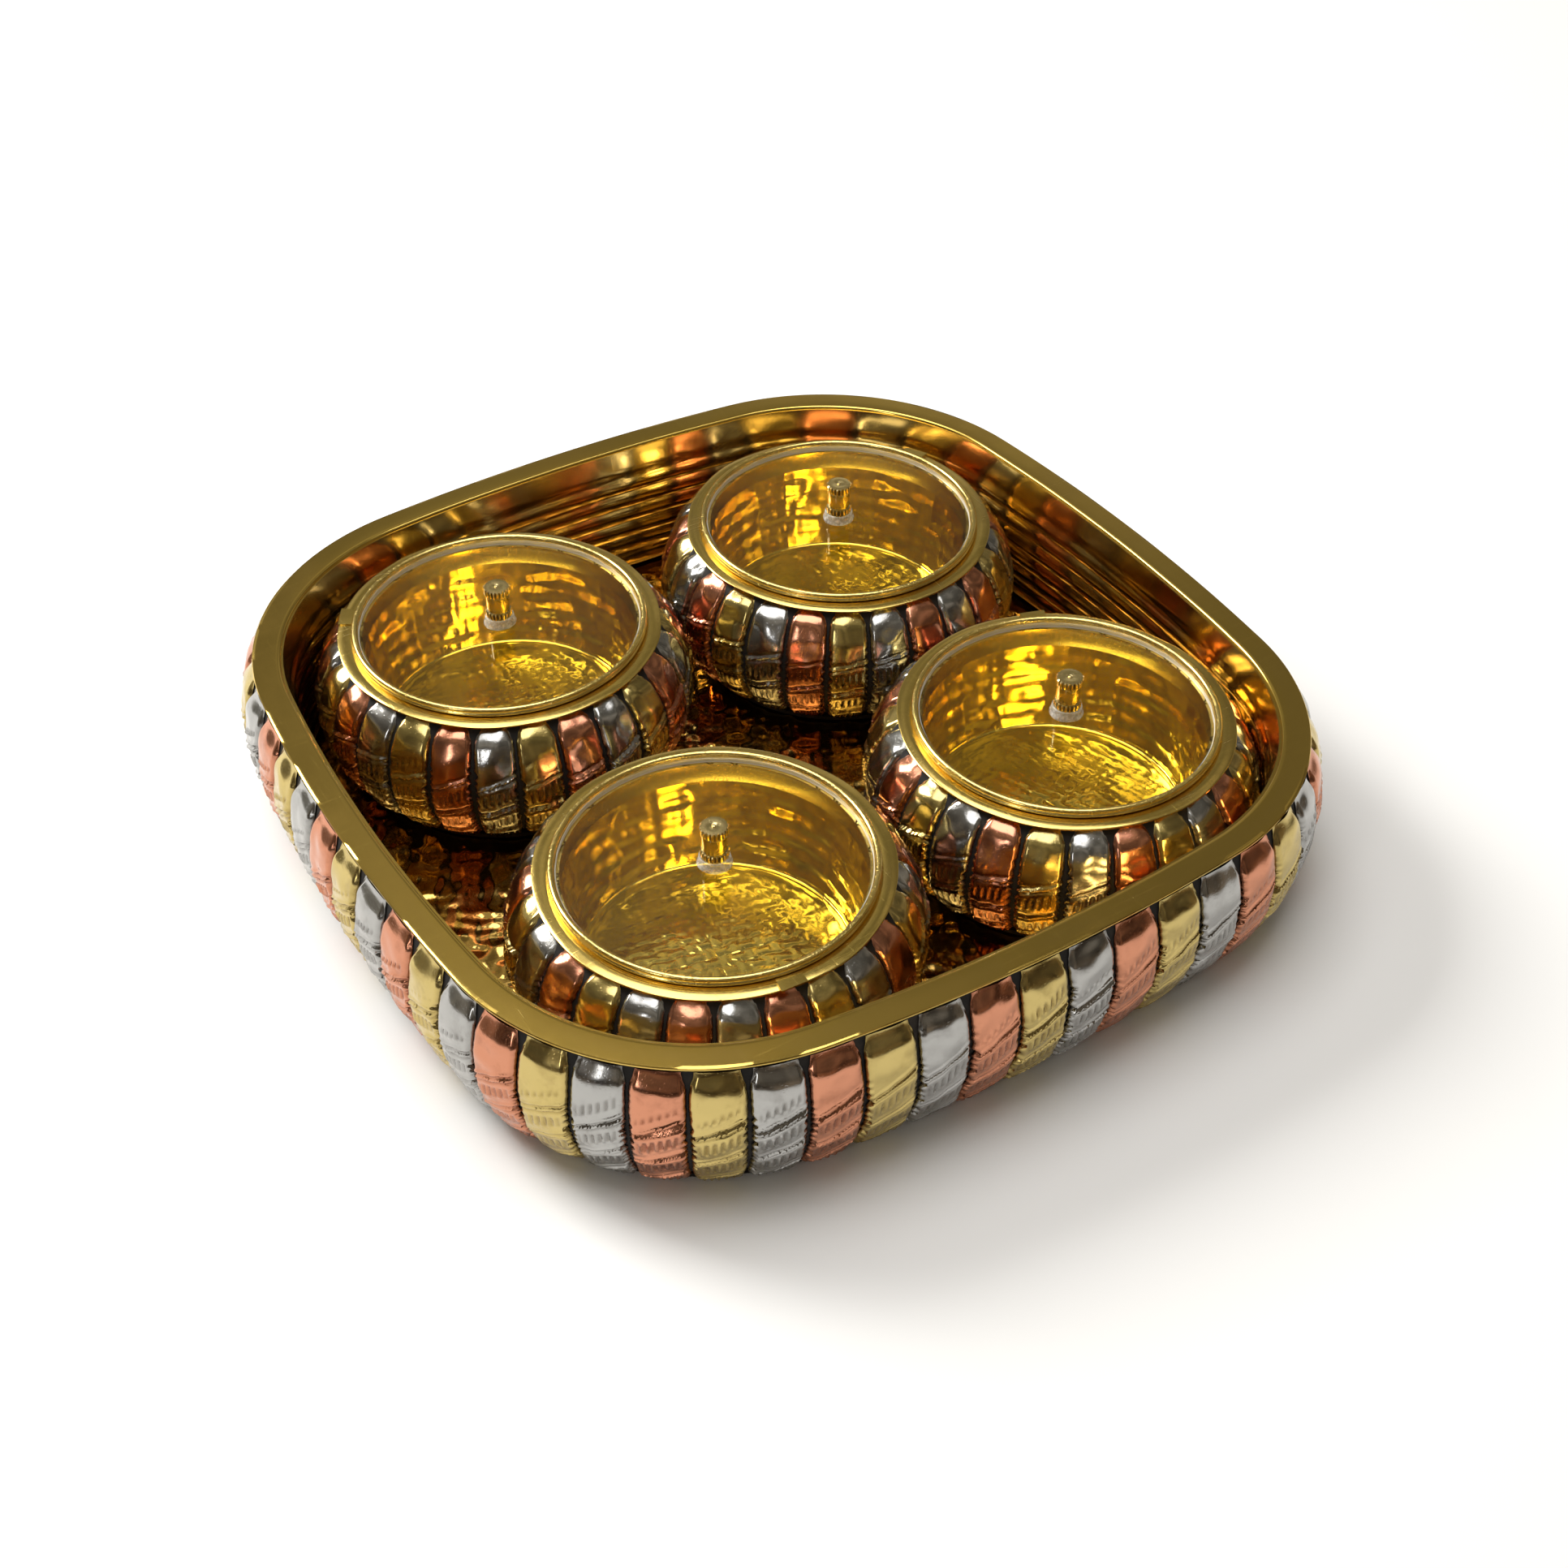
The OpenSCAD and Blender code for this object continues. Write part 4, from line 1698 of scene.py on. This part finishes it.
        # Painted shade: the flute grooves and the corners where the fluted ends meet the waist are marked
        # for the finish to darken.
        mark_points(piece, np.clip(reach * cut + 0.7 * waist_corner_shade, 0.0, 1.0))
        spread(places, self.centre, 1.0 - reach * cut * self.flute_deep / r)
        move_points(piece, places)
        smooth(piece, 35.0)
        dress(piece, KNOB)
        seat(piece, self.body, "knob_brass", f"{self.body}_knob")


# ------------------------------------------------------------------ studio


@dataclass(frozen=True)
class SoftBox:
    """One soft light, in metres and watts."""

    name: str
    place: tuple[float, float, float]
    aim: tuple[float, float, float]
    size: tuple[float, float]
    power: float
    colour: Colour = (1.0, 1.0, 1.0)

    def build(self) -> None:
        """Adds the light."""
        lamp = bpy.data.lights.new(self.name, "AREA")
        lamp.shape = "RECTANGLE"
        lamp.size, lamp.size_y = self.size
        lamp.energy = self.power
        lamp.color = self.colour
        holder = bpy.data.objects.new(self.name, lamp)
        bpy.context.scene.collection.objects.link(holder)
        holder.location = self.place
        toward = Vector(self.aim) - Vector(self.place)
        holder.rotation_euler = toward.to_track_quat("-Z", "Y").to_euler()


@dataclass
class Studio:
    """Camera, pale floor and soft lights."""

    camera_at: tuple[float, float, float] = (-0.2397, -0.3895, 0.4071)
    camera_aim: tuple[float, float, float] = (0.0055, 0.0016, 0.0)
    camera_view: float = 40.64
    camera_roll: float = 0.19

    def build_camera(self) -> None:
        """Adds the camera."""
        lens = bpy.data.cameras.new("camera")
        lens.angle = math.radians(self.camera_view)
        lens.clip_start = 0.01
        holder = bpy.data.objects.new("camera", lens)
        bpy.context.scene.collection.objects.link(holder)
        holder.location = self.camera_at
        toward = Vector(self.camera_aim) - Vector(self.camera_at)
        facing = toward.to_track_quat("-Z", "Y").to_matrix()
        turn = Matrix.Rotation(math.radians(self.camera_roll), 3, "Z")
        holder.rotation_euler = (facing @ turn).to_euler()
        bpy.context.scene.camera = holder

    def build_floor(self) -> None:
        """Adds the floor."""
        bpy.ops.object.select_all(action="DESELECT")
        bpy.ops.mesh.primitive_plane_add(size=8.0, location=(0.0, 0.0, 0.0))
        floor = bpy.context.object
        floor.name = "studio_floor"
        dress(floor, PaleFloor("pale_floor"))

    def build_light(self) -> None:
        """Adds the lights and a dim surround."""
        view = Vector(self.camera_aim) - Vector(self.camera_at)
        ahead = Vector((view.x, view.y, 0.0)).normalized()
        right = Vector((ahead.y, -ahead.x, 0.0))

        def at(side: float, depth: float, height: float) -> tuple[float, float, float]:
            """Place given to the right of, beyond and above the middle."""
            spot = right * side + ahead * depth
            return (spot.x, spot.y, height)

        aim = (0.0, 0.0, 0.02)
        SoftBox("window", at(-1.5, 0.9, 1.35), aim, (0.7, 0.9), 44.0, (1.0, 0.985, 0.95)).build()
        SoftBox("overhead", at(-0.3, 0.2, 2.4), aim, (1.9, 1.9), 36.0).build()
        SoftBox("front_glint", at(-0.9, -1.4, 0.8), aim, (0.22, 0.45), 1.8).build()
        self.build_surround(ahead, right)
        bpy.context.scene.view_settings.view_transform = "Standard"
        bpy.context.scene.view_settings.look = "None"

    def build_surround(self, ahead: Vector, right: Vector) -> None:
        """Adds a dim warm room: dark towards the viewer, paler beyond and above.

        Args:
            ahead: Level direction away from the viewer.
            right: Level direction to the viewer's right.
        """
        g = Graph("surround", surround=True)
        way = g.coords("Generated")

        def toward(direction: Vector) -> Link:
            """How far the way points in a direction, from -1 to 1."""
            node = g.node("ShaderNodeVectorMath", {"operation": "DOT_PRODUCT"}, {0: way, 1: direction})
            return g.out(node, "Value")

        beyond = g.ramp(toward((ahead - 0.45 * right).normalized()), -0.35, 0.85)
        up = g.ramp(toward(Vector((0.0, 0.0, 1.0))), 0.05, 0.95)
        patches = g.ramp(g.noise(way, 3.4, 3.0), 0.40, 0.68)
        dark = g.blend(patches, (0.022, 0.014, 0.008, 1.0), (0.28, 0.205, 0.13, 1.0))
        pale = g.blend(patches, (0.17, 0.155, 0.12, 1.0), (0.46, 0.43, 0.36, 1.0))
        colour = g.blend(g.maths("MAXIMUM", beyond, up * 0.8), dark, pale)
        backdrop = g.node("ShaderNodeBackground", None, {"Color": colour, "Strength": 1.0})
        bpy.context.scene.world = g.surface(g.out(backdrop))

    def build(self) -> None:
        """Adds everything that isn't part of the object."""
        self.build_camera()
        self.build_floor()
        self.build_light()


def main() -> None:
    """Builds the studio, the tray, the bowls and the lids in order."""
    logging.basicConfig(level=logging.INFO, format="%(message)s")
    usual = (Metal.SILVER, Metal.COPPER, Metal.BRASS)
    other = (Metal.SILVER, Metal.BRASS, Metal.COPPER)
    Studio().build()
    Tray().build()
    bowls = [
        Bowl(1, -114.0, usual, joint_at=-101.0),
        Bowl(2, 75.0, other, joint_at=140.0),
        Bowl(3, -78.0, usual, joint_at=20.0),
        Bowl(4, 74.0, usual, joint_at=60.0),
    ]
    for bowl in bowls:
        bowl.build()
    for number in range(1, 5):
        Lid(number, knob_turn=0.7 * number).build()


if __name__ == "__main__":
    main()
